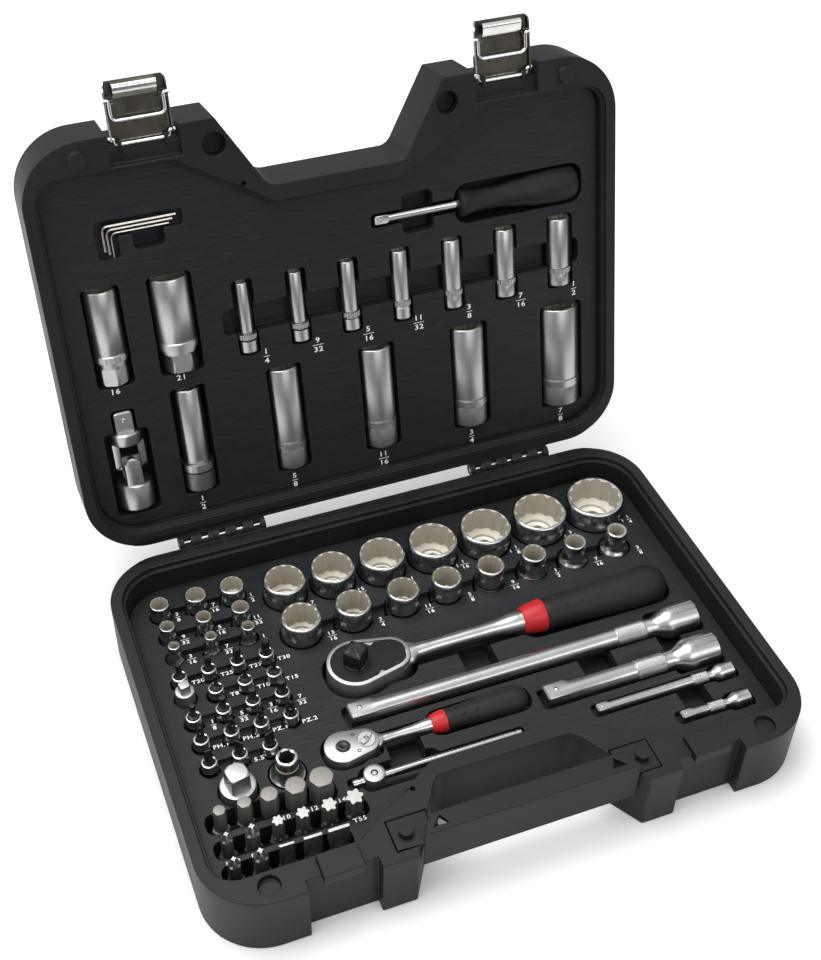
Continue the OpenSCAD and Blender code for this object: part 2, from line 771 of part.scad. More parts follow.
module ratchet_half_body() {
    top = 3.5;
    color(satin) at_half_ratchet() difference() {
        union() {
            translate([0, 0, top - half_head_h]) linear_extrude(half_head_h)
                head2d(half_head_r, half_lobe_at, half_lobe_r);
            rod_x(36, 118.7, 6.2);
            rod_x(118.6, 168, 5.6);
        }
        translate([0, 0, top - 2]) linear_extrude(3) head2d(half_head_r, half_lobe_at, half_lobe_r, 2.6);
        translate([0, 0, top - 14]) cylinder(r = half_gear_r + 0.3, h = 13);
        slab([half_gear_r - 3, -6, top - 14], [half_gear_r + 7, 6, top - 1]);
        translate([0, 0, top - half_head_h - 1]) cylinder(r = 4.1, h = 8);
    }
}

module ratchet_half_plate() {
    color(black) at_half_ratchet() translate([0, 0, 1.7]) linear_extrude(1.8) difference() {
        head2d(half_head_r, half_lobe_at, half_lobe_r, 2.8);
        circle(r = 8.15);
        for (y = [-8, 8]) translate([26, y]) circle(r = 1.6);
    }
}

module ratchet_half_screws() {
    color(dark) at_half_ratchet() for (y = [-8, 8]) translate([26, y, 1.7]) cylinder(r = 1.5, h = 1.7);
}

module ratchet_half_drive() {
    color(dark) at_half_ratchet() {
        translate([0, 0, -10.2]) linear_extrude(11.5) gear2d(half_gear_r, half_teeth, 0.9);
        cylinder(r = 8.05, h = 3.8);
        rotate(half_drive_turn) translate([0, 0, 3.8 - eps]) square_drive(half_sq, half_drive_l);
    }
}

module ratchet_half_pawl() {
    color(satin) at_half_ratchet()
        slab([half_gear_r + 0.7, -5.4, -10.2], [half_gear_r + 6.4, 5.4, 1.2]);
}

module ratchet_half_lever() {
    low = 3.5 - half_head_h;
    color(dark) at_half_ratchet() {
        translate([0, 0, low + 0.2]) cylinder(r = 4, h = 3.6);
        translate([0, 0, low - 3]) cylinder(r = 7.5, h = 2.7);
        translate([0, 0, low - 0.4]) cylinder(r = 4, h = 1);
        slab([0, -3.5, low - 3], [14, 3.5, low - 0.3]);
    }
}

module ratchet_half_collar() {
    x0 = 61 - ratchet_half_at[0];
    color(red) at_half_ratchet() rotate([0, 90, 0]) rotate_extrude()
        polygon([[5.8, x0], [8.5, x0], [11.4, x0 + 12], [11.4, x0 + 16], [5.8, x0 + 16]]);
}

module ratchet_half_grip() {
    x0 = 77.3 - ratchet_half_at[0];
    x1 = ratchet_half_end - ratchet_half_at[0];
    color(black) at_half_ratchet() rotate([0, 90, 0]) rotate_extrude() difference() {
        polygon([
            [0, x0], [11.4, x0], [12.2, x0 + 25], [13.3, x0 + 60], [13.3, x1 - 12],
            [9.5, x1 - 3], [6, x1], [0, x1]
        ]);
        square([5.8, 168.5]);
    }
}

// ---- quarter inch ratchet: face up, drive square underneath ----

quarter_head_r = 12.2;
quarter_head_h = 10.5;
quarter_lobe_at = 14.3;
quarter_lobe_r = 9.4;
quarter_gear_r = 6.5;
quarter_teeth = 30;

module at_quarter_ratchet() {
    translate(ratchet_quarter_at) children();
}

module ratchet_quarter_body() {
    top = 5;
    color(satin) at_quarter_ratchet() difference() {
        union() {
            translate([0, 0, top - quarter_head_h]) linear_extrude(quarter_head_h)
                head2d(quarter_head_r, quarter_lobe_at, quarter_lobe_r);
            rod_x(20, 58.7, 4.6);
            rod_x(58.6, 122, 3.6);
        }
        translate([0, 0, top - quarter_head_h - 1]) cylinder(r = quarter_gear_r + 0.3, h = 9);
        slab([quarter_gear_r - 2, -4, top - 8], [quarter_gear_r + 4.6, 4, top - 2]);
        translate([0, 0, top - 3]) cylinder(r = 4.1, h = 4);
        translate([15.5, 0, top - 1.6]) cylinder(r = 6.1, h = 3);
        for (y = [-6.4, 6.4]) translate([8.6, y, top - 2]) cylinder(r = 1.3, h = 3);
    }
}

module ratchet_quarter_screws() {
    color(dark) at_quarter_ratchet() for (y = [-6.4, 6.4])
        translate([8.6, y, 3.1]) cylinder(r = 1.2, h = 1.7);
}

module ratchet_quarter_drive() {
    low = 5 - quarter_head_h;
    color(dark) at_quarter_ratchet() difference() {
        union() {
            translate([0, 0, low + 0.1]) linear_extrude(7.2) gear2d(quarter_gear_r, quarter_teeth, 0.6);
            translate([0, 0, low - 6.8]) square_drive(quarter_sq, 7.5);
        }
        translate([0, 0, low + 3]) cylinder(r = 2.1, h = 6);
    }
}

module ratchet_quarter_button() {
    color(black) at_quarter_ratchet() {
        translate([0, 0, 3.2]) cylinder(r = 3.9, h = 3);
        translate([0, 0, -0.9]) cylinder(r = 2, h = 4.2);
    }
}

module ratchet_quarter_pawl() {
    color(satin) at_quarter_ratchet()
        slab([quarter_gear_r + 0.6, -3.5, -2.7], [quarter_gear_r + 4.2, 3.5, 2.7]);
}

module ratchet_quarter_lever() {
    color(chrome) at_quarter_ratchet() translate([15.5, 0, 3.6]) {
        cylinder(r = 5.9, h = 1.9);
        translate([0, 0, 1.9 - eps]) slab([-5, -1.8, 0], [4.5, 1.8, 1.6]);
    }
}

module ratchet_quarter_collar() {
    x0 = -28 - ratchet_quarter_at[0];
    color(red) at_quarter_ratchet() rotate([0, 90, 0]) rotate_extrude()
        polygon([[3.8, x0], [5.6, x0], [7.6, x0 + 7], [7.6, x0 + 10], [3.8, x0 + 10]]);
}

module ratchet_quarter_grip() {
    x0 = -17.7 - ratchet_quarter_at[0];
    x1 = ratchet_quarter_end - ratchet_quarter_at[0];
    color(black) at_quarter_ratchet() rotate([0, 90, 0]) rotate_extrude() difference() {
        polygon([
            [0, x0], [7.6, x0], [8.3, x0 + 18], [9, x0 + 34], [9, x1 - 8], [6.4, x1 - 2], [4, x1], [0, x1]
        ]);
        square([3.8, 124]);
    }
}

// ---- extension bars: male square at the left, female end at the right ----

module extension(at, l, side) {
    e = end_r(side);
    b = bar_r(side);
    color(satin) translate(at) difference() {
        union() {
            rotate([0, 90, 0]) square_drive(side, side * 1.4);
            rod_x(side * 1.4 - eps, l - side * 1.6, b);
            rod_x(l - side * 4.75, l - side * 3, b + 0.3);
            translate([l - side * 2.5, 0, 0]) rotate([0, 90, 0]) cylinder(r1 = b, r2 = e, h = side * 0.9);
            rod_x(l - side * 1.6 - eps, l, e);
        }
        translate([l - side * 1.2, -side / 2 - 0.07, -side / 2 - 0.07])
            cube([side * 2, side + 0.14, side + 0.14]);
    }
    color(chrome) translate([at[0] + side * 0.6, at[1], at[2] + side / 2 - 0.2])
        sphere(r = side * 0.11, $fn = 16);
}

module extension_250() {
    extension(ext_250_at, 250, half_sq);
}

module extension_125() {
    extension(ext_125_at, 125, half_sq);
}

module extension_100() {
    extension(ext_100_at, 100, quarter_sq);
}

module extension_50() {
    extension(ext_50_at, 50, quarter_sq);
}

module t_handle_rod() {
    color(chrome) translate(t_rod_at) rod_x(0, t_rod_l, t_rod_r);
}

module t_handle_slider() {
    color(satin) translate([t_slider_x, t_rod_at[1], t_rod_at[2]]) difference() {
        union() {
            translate([0, 0, -6.5]) cylinder(r = t_slider_r, h = 11.5);
            translate([0, 0, 5 - eps]) cylinder(r1 = t_slider_r, r2 = t_slider_r - 1, h = 1);
        }
        rod_x(-10, 10, t_rod_r + 0.06);
    }
}

// ---- tools in the lid, laid out with the lid closed ----

module lid_tool(x, y, z) {
    open_lid() translate([x, y, z]) children();
}

module spinner_shaft() {
    color(chrome) lid_tool(spinner_at[0], spinner_at[1], spinner_at[2]) {
        rotate([0, 90, 0]) square_drive(quarter_sq, 9);
        rod_x(9 - eps, 90, 3.2);
    }
}

module spinner_grip() {
    x0 = 60;
    l = spinner_end - spinner_at[0];
    color(black) lid_tool(spinner_at[0], spinner_at[1], spinner_at[2])
        rotate([0, 90, 0]) rotate_extrude() difference() {
            polygon([
                [0, x0], [7, x0], [7.8, x0 + 3], [7.2, x0 + 9], [8.2, x0 + 28], [11.4, x0 + 62],
                [12.3, l - 9], [10, l - 1.5], [6, l], [0, l]
            ]);
            square([3.21, 90.01]);
        }
}

module hex_key(r, long, short) {
    bend = 4;
    translate([bend, 0, 0]) rod_x(0, long - bend, r);
    translate([0, bend, 0]) rod_y(0, short - bend, r);
    translate([bend, bend, 0]) rotate([0, 0, 180]) rotate_extrude(angle = 90)
        translate([bend, 0]) circle(r = r);
}

module hex_keys() {
    color(chrome) for (i = [0:2])
        lid_tool(key_corner[0] + i * key_pitch, key_corner[1] + i * key_pitch, lid_face_z + 2)
            hex_key(key_r[i], key_long - 5 * i, key_short);
}

// A deep socket lying down, its drive end towards the hinge
module deep_socket(d, across, l, foot_d, sq) {
    difference() {
        union() {
            rod_y(0, l, d / 2);
            rod_y(l * 0.76, l, foot_d / 2);
            rod_y(l * 0.73, l * 0.78, max(d, foot_d) / 2 + 0.3);
        }
        rotate([-90, 0, 0]) translate([0, 0, -eps]) linear_extrude(l * 0.6)
            twelve_point(across * inch + 0.2);
        rotate([-90, 0, 0]) translate([0, 0, l * 0.76]) square_hole(sq, l);
        rod_y(l * 0.55, l * 0.8, min(across * inch, sq) * 0.42);
    }
}

module half_deep_sockets() {
    color(satin) for (i = [0:4]) lid_tool(half_deep_x[i], half_deep_y, big_axis_z)
        deep_socket(half_deep_d[i], half_deep_af[i], half_deep_h,
                    max(half_deep_foot_d, half_deep_d[i] - 2.5), half_sq + 0.15);
}

module quarter_deep_sockets() {
    color(satin) for (i = [0:6]) lid_tool(quarter_deep_x[i], quarter_deep_y, small_axis_z)
        deep_socket(quarter_deep_d[i], quarter_deep_af[i], quarter_deep_h, quarter_foot_d,
                    quarter_sq + 0.1);
}

module plug_sockets() {
    color(chrome) for (i = [0:1]) lid_tool(plug_x[i], plug_y, big_axis_z) difference() {
        union() {
            rod_y(0, 46, plug_r[i]);
            rod_y(44, 49, plug_r[i] + 0.3);
            rod_y(46, 54, plug_r[i] - 1.6);
            translate([0, 53, 0]) rotate([-90, 0, 0])
                cylinder(d = plug_hex[i] / cos(30), h = plug_h - 53, $fn = 6);
        }
        rotate([-90, 0, 0]) translate([0, 0, -eps]) cylinder(r = plug_r[i] - 1.9, h = 44);
        rotate([-90, 0, 0]) translate([0, 0, plug_h - 15]) square_hole(half_sq + 0.15, 20);
    }
}

// Rubber sleeves that hold the spark plug's insulator
module plug_inserts() {
    color(black) for (i = [0:1]) lid_tool(plug_x[i], plug_y, big_axis_z) difference() {
        rod_y(18, 36, plug_r[i] - 2);
        rod_y(17, 37, 5);
    }
}

// ---- universal joint: two yokes on a cross ----

fork_gap = 6.2;
fork_half = 5.8;

module joint_drive_yoke() {
    color(satin) lid_tool(joint_at[0], joint_at[1], big_axis_z) difference() {
        union() {
            translate([0, -39, 0]) rotate([-90, 0, 0]) square_drive(half_sq, 15);
            rod_y(-24 - eps, -15, joint_r - 1.4);
            intersection() {
                for (side = [-1, 1])
                    slab([side < 0 ? -11 : fork_gap, -16, -fork_half],
                         [side < 0 ? -fork_gap : 11, 6, fork_half]);
                rod_y(-17, 8, joint_r - 1.4);
            }
        }
        rod_x(-14, 14, 3.05);
    }
}

module joint_socket_yoke() {
    color(satin) lid_tool(joint_at[0], joint_at[1], big_axis_z) difference() {
        union() {
            rod_y(15, 34, joint_r);
            intersection() {
                for (side = [-1, 1])
                    slab([-fork_half, -6, side < 0 ? -11 : fork_gap],
                         [fork_half, 16, side < 0 ? -fork_gap : 11]);
                rod_y(-8, 17, joint_r);
            }
        }
        rotate([-90, 0, 0]) translate([0, 0, 19]) square_hole(half_sq + 0.15, 20);
        translate([0, 0, -14]) cylinder(r = 3.05, h = 28);
    }
}

module joint_cross() {
    side = fork_gap - 0.3;
    color(satin) lid_tool(joint_at[0], joint_at[1], big_axis_z) difference() {
        slab([-side, -side, -side], [side, side, side]);
        rod_x(-14, 14, 3.02);
        translate([0, 0, -14]) cylinder(r = 3.02, h = 28);
    }
}

module joint_pins() {
    color(chrome) lid_tool(joint_at[0], joint_at[1], big_axis_z) {
        rod_x(-10.4, 10.4, 3);
        translate([0, 0, -10.4]) cylinder(r = 3, h = 20.8);
    }
}

base_shell();
base_tray();
carry_handle();
handle_screws();
hinge_pins();
lid_shell();
lid_tray();
latch_wires();
latch_lever_left();
latch_lever_right();
latch_bail_left();
latch_bail_right();
half_sockets_back();
half_sockets_front();
quarter_sockets();
bit_sockets();
bit_socket_bits();
hex_bits();
star_bits();
slotted_bits();
half_adapter();
quarter_adapter();
bit_holder();
ratchet_half_body();
ratchet_half_plate();
ratchet_half_screws();
ratchet_half_drive();
ratchet_half_pawl();
ratchet_half_lever();
ratchet_half_collar();
ratchet_half_grip();
ratchet_quarter_body();
ratchet_quarter_screws();
ratchet_quarter_drive();
ratchet_quarter_button();
ratchet_quarter_pawl();
ratchet_quarter_lever();
ratchet_quarter_collar();
ratchet_quarter_grip();
extension_250();
extension_125();
extension_100();
extension_50();
t_handle_rod();
t_handle_slider();
spinner_shaft();
spinner_grip();
hex_keys();
joint_drive_yoke();
joint_cross();
joint_pins();
joint_socket_yoke();
half_deep_sockets();
quarter_deep_sockets();
plug_sockets();
plug_inserts();
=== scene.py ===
"""Looks for the socket wrench set in its case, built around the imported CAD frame."""
import json
import math
import random

import bmesh
import bpy
import numpy as np
from mathutils import Matrix, Vector

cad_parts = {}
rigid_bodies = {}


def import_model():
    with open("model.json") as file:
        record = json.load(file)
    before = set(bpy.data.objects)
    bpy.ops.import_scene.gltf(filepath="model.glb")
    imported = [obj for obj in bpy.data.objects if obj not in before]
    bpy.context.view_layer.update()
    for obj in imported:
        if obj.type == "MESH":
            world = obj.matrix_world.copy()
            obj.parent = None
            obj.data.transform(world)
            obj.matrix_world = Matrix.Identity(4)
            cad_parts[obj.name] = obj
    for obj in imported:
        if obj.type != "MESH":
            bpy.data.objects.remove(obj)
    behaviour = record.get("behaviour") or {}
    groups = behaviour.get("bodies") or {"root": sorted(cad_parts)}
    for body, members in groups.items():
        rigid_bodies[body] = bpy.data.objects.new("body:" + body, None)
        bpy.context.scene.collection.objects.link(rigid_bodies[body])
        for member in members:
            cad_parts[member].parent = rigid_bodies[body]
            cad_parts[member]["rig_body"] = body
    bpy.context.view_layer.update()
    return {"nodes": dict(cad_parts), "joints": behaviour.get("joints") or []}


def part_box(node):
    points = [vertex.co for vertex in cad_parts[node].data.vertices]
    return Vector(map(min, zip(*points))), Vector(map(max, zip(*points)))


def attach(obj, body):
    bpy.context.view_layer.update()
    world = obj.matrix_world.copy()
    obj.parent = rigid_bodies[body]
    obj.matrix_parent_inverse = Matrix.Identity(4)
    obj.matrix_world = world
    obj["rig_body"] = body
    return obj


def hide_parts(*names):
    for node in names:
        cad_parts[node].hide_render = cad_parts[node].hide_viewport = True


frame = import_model()

MM = 0.001
TURN = 2 * math.pi
random.seed(7)

# ---- the lid's own frame: pieces are laid out with the lid closed, then swung open with it ----

joints = {j["name"]: j for j in frame["joints"]}
lid_hinge = joints["lid_hinge"]
HINGE = Vector(lid_hinge["pos_m"])
OPEN = (
    Matrix.Translation(HINGE)
    @ Matrix.Rotation(math.radians(lid_hinge["range_deg"][0]), 4, "X")
    @ Matrix.Translation(-HINGE)
)
CLOSED = OPEN.inverted()


def points(node, matrix=Matrix()):
    """A CAD node's vertices as an array, seen through matrix."""
    mesh = frame["nodes"][node].data
    co = np.empty(len(mesh.vertices) * 3)
    mesh.vertices.foreach_get("co", co)
    m = np.array(matrix)
    return co.reshape(-1, 3) @ m[:3, :3].T + m[:3, 3]


def solids(node, matrix=Matrix()):
    """The vertices of each separate solid of a CAD node, ordered along X and then Y."""
    mesh = frame["nodes"][node].data
    co = points(node, matrix)
    keys, index = np.unique(np.round(co / 2e-6).astype(np.int64), axis=0, return_inverse=True)
    index = index.ravel()
    parent = list(range(len(keys)))

    def root(i):
        while parent[i] != i:
            parent[i] = parent[parent[i]]
            i = parent[i]
        return i

    for edge in mesh.edges:
        a, b = root(index[edge.vertices[0]]), root(index[edge.vertices[1]])
        parent[a] = b
    groups = {}
    for i, k in enumerate(index):
        groups.setdefault(root(k), []).append(i)
    found = [co[g] for g in groups.values()]
    return sorted(found, key=lambda p: (round(p[:, 0].mean(), 3), p[:, 1].mean()))


def eased(a, b, s):
    """From a to b as s goes from 0 to 1, slow at both ends."""
    return a + (b - a) * (s * s * (3 - 2 * s))


def box_of(co):
    return Vector(co.min(0)), Vector(co.max(0))


def extent(lo, hi):
    """A box's width, depth and height in millimetres."""
    return [(b - a) / MM for a, b in zip(lo, hi)]


def foot(lo, hi, z=None):
    """The middle of a box's underside, or of the box seen from above at another height."""
    return Vector(((lo.x + hi.x) / 2, (lo.y + hi.y) / 2, lo.z if z is None else z))


def left_end(lo, hi):
    """The middle of a box's left end."""
    return Vector((lo.x, (lo.y + hi.y) / 2, (lo.z + hi.z) / 2))


def new_object(name, data):
    thing = bpy.data.objects.new(name, data)
    bpy.context.scene.collection.objects.link(thing)
    return thing


def shown_mesh(thing):
    """A copy of the mesh that an object shows. The object is removed."""
    bpy.context.view_layer.update()
    mesh = bpy.data.meshes.new_from_object(thing.evaluated_get(bpy.context.evaluated_depsgraph_get()))
    bpy.data.objects.remove(thing)
    return mesh


# ---- materials ----


def node_tree(name):
    material = bpy.data.materials.new(name)
    material.use_nodes = True
    tree = material.node_tree
    return material, tree, tree.nodes["Principled BSDF"]


def wired(tree, kind, links=(), values=(), **settings):
    """A new shader node with its settings, its input values and what its inputs are linked to."""
    node = tree.nodes.new("ShaderNode" + kind)
    for key, value in settings.items():
        setattr(node, key, value)
    for key, value in dict(values).items():
        node.inputs[key].default_value = value
    for key, source in dict(links).items():
        tree.links.new(source, node.inputs[key])
    return node


def texture_space(tree, scale=(1, 1, 1)):
    coord = wired(tree, "TexCoord")
    return wired(tree, "Mapping", {"Vector": coord.outputs["Object"]}, {"Scale": scale}).outputs["Vector"]


def noise(tree, space, scale, detail=3, roughness=0.5):
    values = {"Scale": scale, "Detail": detail, "Roughness": roughness}
    return wired(tree, "TexNoise", {"Vector": space}, values).outputs["Fac"]


def ramp(tree, factor, low, high, start=0.3, end=0.7):
    node = wired(tree, "ValToRGB", {"Fac": factor})
    for stop, place, value in zip(node.color_ramp.elements, (start, end), (low, high)):
        stop.position = place
        stop.color = (*value, 1) if hasattr(value, "__len__") else (value, value, value, 1)
    return node.outputs["Color"]


def bump(tree, shader, height, strength, distance):
    node = wired(tree, "Bump", {"Height": height}, {"Strength": strength, "Distance": distance})
    tree.links.new(node.outputs["Normal"], shader.inputs["Normal"])


def plastic(name, low, high, rough, grain, depth, streak=None, specular=0.22):
    """Moulded plastic: colour and gloss drift a little and the surface has a fine grain."""
    material, tree, shader = node_tree(name)
    space = texture_space(tree, streak or (1, 1, 1))
    fine = noise(tree, space, grain, 4, 0.6)
    drift = noise(tree, texture_space(tree), 18, 3)
    tree.links.new(ramp(tree, fine if streak else drift, low, high), shader.inputs["Base Color"])
    tree.links.new(ramp(tree, drift, rough[0], rough[1]), shader.inputs["Roughness"])
    shader.inputs["Specular IOR Level"].default_value = specular
    bump(tree, shader, fine, 0.5, depth)
    return material


def metal(name, low, high, rough, streak=(1, 1, 1), grain=400, depth=0.00001, metallic=1.0):
    """Plated or bare steel with fine machining marks and a little uneven polish."""
    material, tree, shader = node_tree(name)
    fine = noise(tree, texture_space(tree, streak), grain, 3, 0.6)
    drift = noise(tree, texture_space(tree), 60, 3)
    shader.inputs["Metallic"].default_value = metallic
    tree.links.new(ramp(tree, drift, low, high), shader.inputs["Base Color"])
    tree.links.new(ramp(tree, fine, rough[0], rough[1]), shader.inputs["Roughness"])
    bump(tree, shader, fine, 0.35, depth)
    return material


CASE = plastic("case_plastic", (0.0082, 0.0084, 0.0083), (0.0122, 0.0124, 0.0122), (0.42, 0.55), 1800,
               0.00012)
PANEL = plastic("panel_plastic", (0.006, 0.0064, 0.0068), (0.019, 0.02, 0.0215), (0.42, 0.52), 60, 0.00004,
                (1.0, 28, 28))
GRIP = plastic("grip_plastic", (0.009, 0.009, 0.0095), (0.014, 0.014, 0.015), (0.5, 0.62), 2200, 0.00008)
RED = plastic("red_plastic", (0.4, 0.014, 0.017), (0.48, 0.018, 0.022), (0.36, 0.48), 900, 0.00004,
              specular=0.3)
WHITE = plastic("print_white", (0.72, 0.73, 0.74), (0.82, 0.82, 0.83), (0.5, 0.6), 2000, 0.00001)
RUBBER = plastic("insert_rubber", (0.012, 0.012, 0.012), (0.02, 0.02, 0.02), (0.6, 0.75), 1500, 0.00005)
CHROME = metal("chrome", (0.46, 0.465, 0.465), (0.52, 0.525, 0.52), (0.19, 0.23), grain=200, depth=0.000001)
SATIN = metal("satin_chrome", (0.42, 0.42, 0.41), (0.49, 0.49, 0.48), (0.28, 0.34), (8, 60, 60), 60, 0.000001)
MATT = metal("matt_chrome", (0.4, 0.4, 0.39), (0.45, 0.45, 0.44), (0.4, 0.47), depth=0.000001)
BORE = metal("bore_steel", (0.035, 0.026, 0.016), (0.06, 0.045, 0.03), (0.5, 0.6), metallic=0.4)
MARKED = metal("marked_steel", (0.2, 0.2, 0.195), (0.28, 0.28, 0.27), (0.34, 0.46))
FLUTE = metal("fluted_steel", (0.4, 0.365, 0.3), (0.48, 0.445, 0.37), (0.55, 0.65), depth=0.000001,
              metallic=0.3)
FLOOR_STEEL = metal("socket_floor", (0.72, 0.69, 0.6), (0.84, 0.81, 0.72), (0.5, 0.62), metallic=0.35)
KNURL = metal("knurled_steel", (0.4, 0.4, 0.39), (0.48, 0.48, 0.47), (0.26, 0.36))
BLACK_STEEL = metal("black_steel", (0.028, 0.028, 0.03), (0.05, 0.05, 0.052), (0.3, 0.45), metallic=0.85)
BIT_STEEL = metal("bit_steel", (0.1, 0.093, 0.085), (0.15, 0.14, 0.13), (0.4, 0.52), metallic=0.6)
BIT_TOP = metal("bit_top", (0.2, 0.188, 0.172), (0.26, 0.245, 0.225), (0.45, 0.55), metallic=0.6)
BRIGHT = metal("bright_nickel", (0.66, 0.65, 0.62), (0.78, 0.77, 0.74), (0.12, 0.24))
BLACK_PLATE = plastic("black_plate", (0.006, 0.006, 0.0065), (0.01, 0.01, 0.011), (0.4, 0.5), 1500, 0.00002)
BIT_TIP = metal("bit_tip", (0.36, 0.35, 0.33), (0.46, 0.45, 0.43), (0.4, 0.52))
KEY = metal("key_nickel", (0.36, 0.335, 0.3), (0.46, 0.43, 0.39), (0.2, 0.32))
# Dark brown for the latch sheets' insides, clips and emboss: painted shade on sheet whose outside is bright
# nickel.
LATCH_PAINTED_SHADE = metal("latch_sheet_painted_shade", (0.085, 0.077, 0.065), (0.12, 0.11, 0.093), (0.3, 0.42), grain=120,
              depth=0.000004)
WIRE = metal("latch_wire_steel", (0.72, 0.72, 0.72), (0.82, 0.82, 0.82), (0.12, 0.22))

NODE_LOOKS = {
    CASE: ["base_shell", "lid_shell", "carry_handle", "handle_screws"],
    PANEL: ["base_tray", "lid_tray"],
    CHROME: [
        "hinge_pins", "half_sockets_back", "half_sockets_front", "quarter_sockets", "bit_sockets",
        "half_adapter", "quarter_adapter", "bit_holder", "t_handle_rod", "spinner_shaft", "joint_pins",
        "plug_sockets",
    ],
    SATIN: [
        "extension_250", "extension_125", "extension_100", "extension_50", "t_handle_slider",
        "ratchet_half_body", "ratchet_quarter_body", "ratchet_quarter_lever", "joint_drive_yoke",
        "joint_socket_yoke", "joint_cross", "half_deep_sockets", "quarter_deep_sockets",
        "ratchet_half_pawl", "ratchet_quarter_pawl",
    ],
    BIT_STEEL: ["hex_bits", "star_bits", "slotted_bits"],
    BLACK_STEEL: [
        "bit_socket_bits", "ratchet_half_plate", "ratchet_half_screws", "ratchet_half_drive",
        "ratchet_half_lever", "ratchet_quarter_screws", "ratchet_quarter_drive", "ratchet_quarter_button",
    ],
    BRIGHT: [
        "latch_wires", "latch_lever_left", "latch_lever_right", "latch_bail_left", "latch_bail_right",
        "hex_keys",
    ],
    RED: ["ratchet_half_collar", "ratchet_quarter_collar"],
    GRIP: ["ratchet_half_grip", "ratchet_quarter_grip", "spinner_grip"],
    RUBBER: ["plug_inserts"],
}
for material, names in NODE_LOOKS.items():
    for name in names:
        mesh = frame["nodes"][name].data
        mesh.materials.clear()
        mesh.materials.append(material)

# ---- sizes that the pieces below share with the CAD, in millimetres ----

LARGE_REACH = 23.5  # from the large ratchet's drive to its head's second centre
LARGE_LOBE = 14.2
SMALL_REACH = 14.3
SMALL_LOBE = 9.4
DRIVE_TURN = 43  # degrees that the large ratchet's square is turned on its joint, which has no end stops
HALF, QUARTER = 12.7, 6.35  # the sides of the two sizes of square drive
HALF_HOLE = 12.85
BIT_SHANK = 10
WIRE_RADIUS = 1.2

# ---- mesh building: lengths in these functions are in millimetres ----


def body_of(node):
    return frame["nodes"][node]["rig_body"]


def add_piece(name, mesh, materials, node, matrix=Matrix(), crease=32):
    """Puts a mesh in the scene as the piece that stands for a CAD node, riding on that node's body."""
    for material in materials:
        mesh.materials.append(material)
    if crease is not None:
        mesh.polygons.foreach_set("use_smooth", [True] * len(mesh.polygons))
        mesh.set_sharp_from_angle(angle=math.radians(crease))
    piece = new_object(name, mesh)
    piece.matrix_world = matrix
    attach(piece, body_of(node))
    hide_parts(node)
    return piece


def skin(name, verts, across, slots, closed=False):
    """A mesh over rings of across points each, where slots has a material number for every ring."""
    count = len(slots)
    faces, looks = [], []
    for j in range(count if closed else count - 1):
        low, high = j * across, (j + 1) % count * across
        for i in range(across):
            k = (i + 1) % across
            faces.append((low + i, low + k, high + k, high + i))
            looks.append(slots[(j + 1) % count])
    if not closed:
        faces += [tuple(reversed(range(across))), tuple(range((count - 1) * across, count * across))]
        looks += [slots[0], slots[-1]]
    mesh = bpy.data.meshes.new(name)
    mesh.from_pydata(verts, [], faces)
    mesh.polygons.foreach_set("material_index", looks)
    return mesh


def slots_of(rings):
    return [ring[2] if len(ring) > 2 else 0 for ring in rings]


def loft(name, rings, closed=False, segments=96):
    """A skin through rings of (height, radius or radius function, material number if not 0) along local Z."""
    verts = []
    for z, shape, *_ in rings:
        for i in range(segments):
            t = TURN * i / segments
            r = shape(t) if callable(shape) else shape
            verts.append((r * math.cos(t) * MM, r * math.sin(t) * MM, z * MM))
    mesh = skin(name, verts, segments, slots_of(rings), closed)
    mesh.validate()
    return mesh


def turned(name, rings, materials, node, matrix=Matrix(), crease=32, **shape):
    """A piece that is a skin through rings."""
    return add_piece(name, loft(name, rings, **shape), materials, node, matrix, crease)


def hexagon(across, phase=0.0):
    return lambda t: across / 2 / math.cos((t - phase) % (TURN / 6) - TURN / 12)


def square(across, corner=1.33):
    """A square with flats along X and Y, its corners cut off by a circle."""
    flat = TURN / 4
    return lambda t: min(across / 2 / math.cos((t + flat / 2) % flat - flat / 2), across * corner / 2)


def cut(shape, radius):
    """A shape turned down to a radius, as a lathe chamfers a corner."""
    return lambda t: min(shape(t), radius)


def turned_end(shape, corner, end, z0, z1, slot=0, steps=6):
    """Rings that chamfer a shape from its corner radius down to a smaller one towards its end."""
    rings = []
    for i in range(steps + 1):
        a = TURN / 4 * i / steps
        rings.append((z0 + (z1 - z0) * math.sin(a), cut(shape, end + (corner - end) * math.cos(a)), slot))
    return rings


def fluted(ridge, flute, count=12):
    """The inside of a socket: rounded flutes with a ridge between each two."""

    def radius(t):
        along = abs(t * count / TURN % 1 * 2 - 1)
        return ridge + (flute - ridge) * math.sin(along * TURN / 4) ** 0.85

    return radius


def star(outer, inner, count=6):
    def radius(t):
        return inner + (outer - inner) * (0.5 + 0.5 * math.cos(t * count)) ** 0.9

    return radius


def cross(outer, width):
    """Four arms of the given width."""
    quarter = TURN / 4

    def radius(t):
        side = abs((t + quarter / 2) % quarter - quarter / 2)
        return min(outer, width / 2 / max(math.sin(side), 0.001))

    return radius


def blade(width, thick):
    return lambda t: min(width / 2 / max(abs(math.cos(t)), 1e-6), thick / 2 / max(abs(math.sin(t)), 1e-6))


def knurl(radius, count, phase, depth=0.3):
    def height(t):
        one = abs((t * count / TURN + phase) % 1 * 2 - 1)
        two = abs((t * count / TURN - phase) % 1 * 2 - 1)
        return radius - depth + depth * (one + two)

    return height


def knurl_band(z0, z1, radius, count=32, slot=1):
    """Rings for a diamond knurl between two heights."""
    pitch = TURN * radius / count
    steps = max(4, int(round((z1 - z0) / pitch * 4)))
    return [(z0 + (z1 - z0) * j / steps, knurl(radius, count, j / 4), slot) for j in range(steps + 1)]


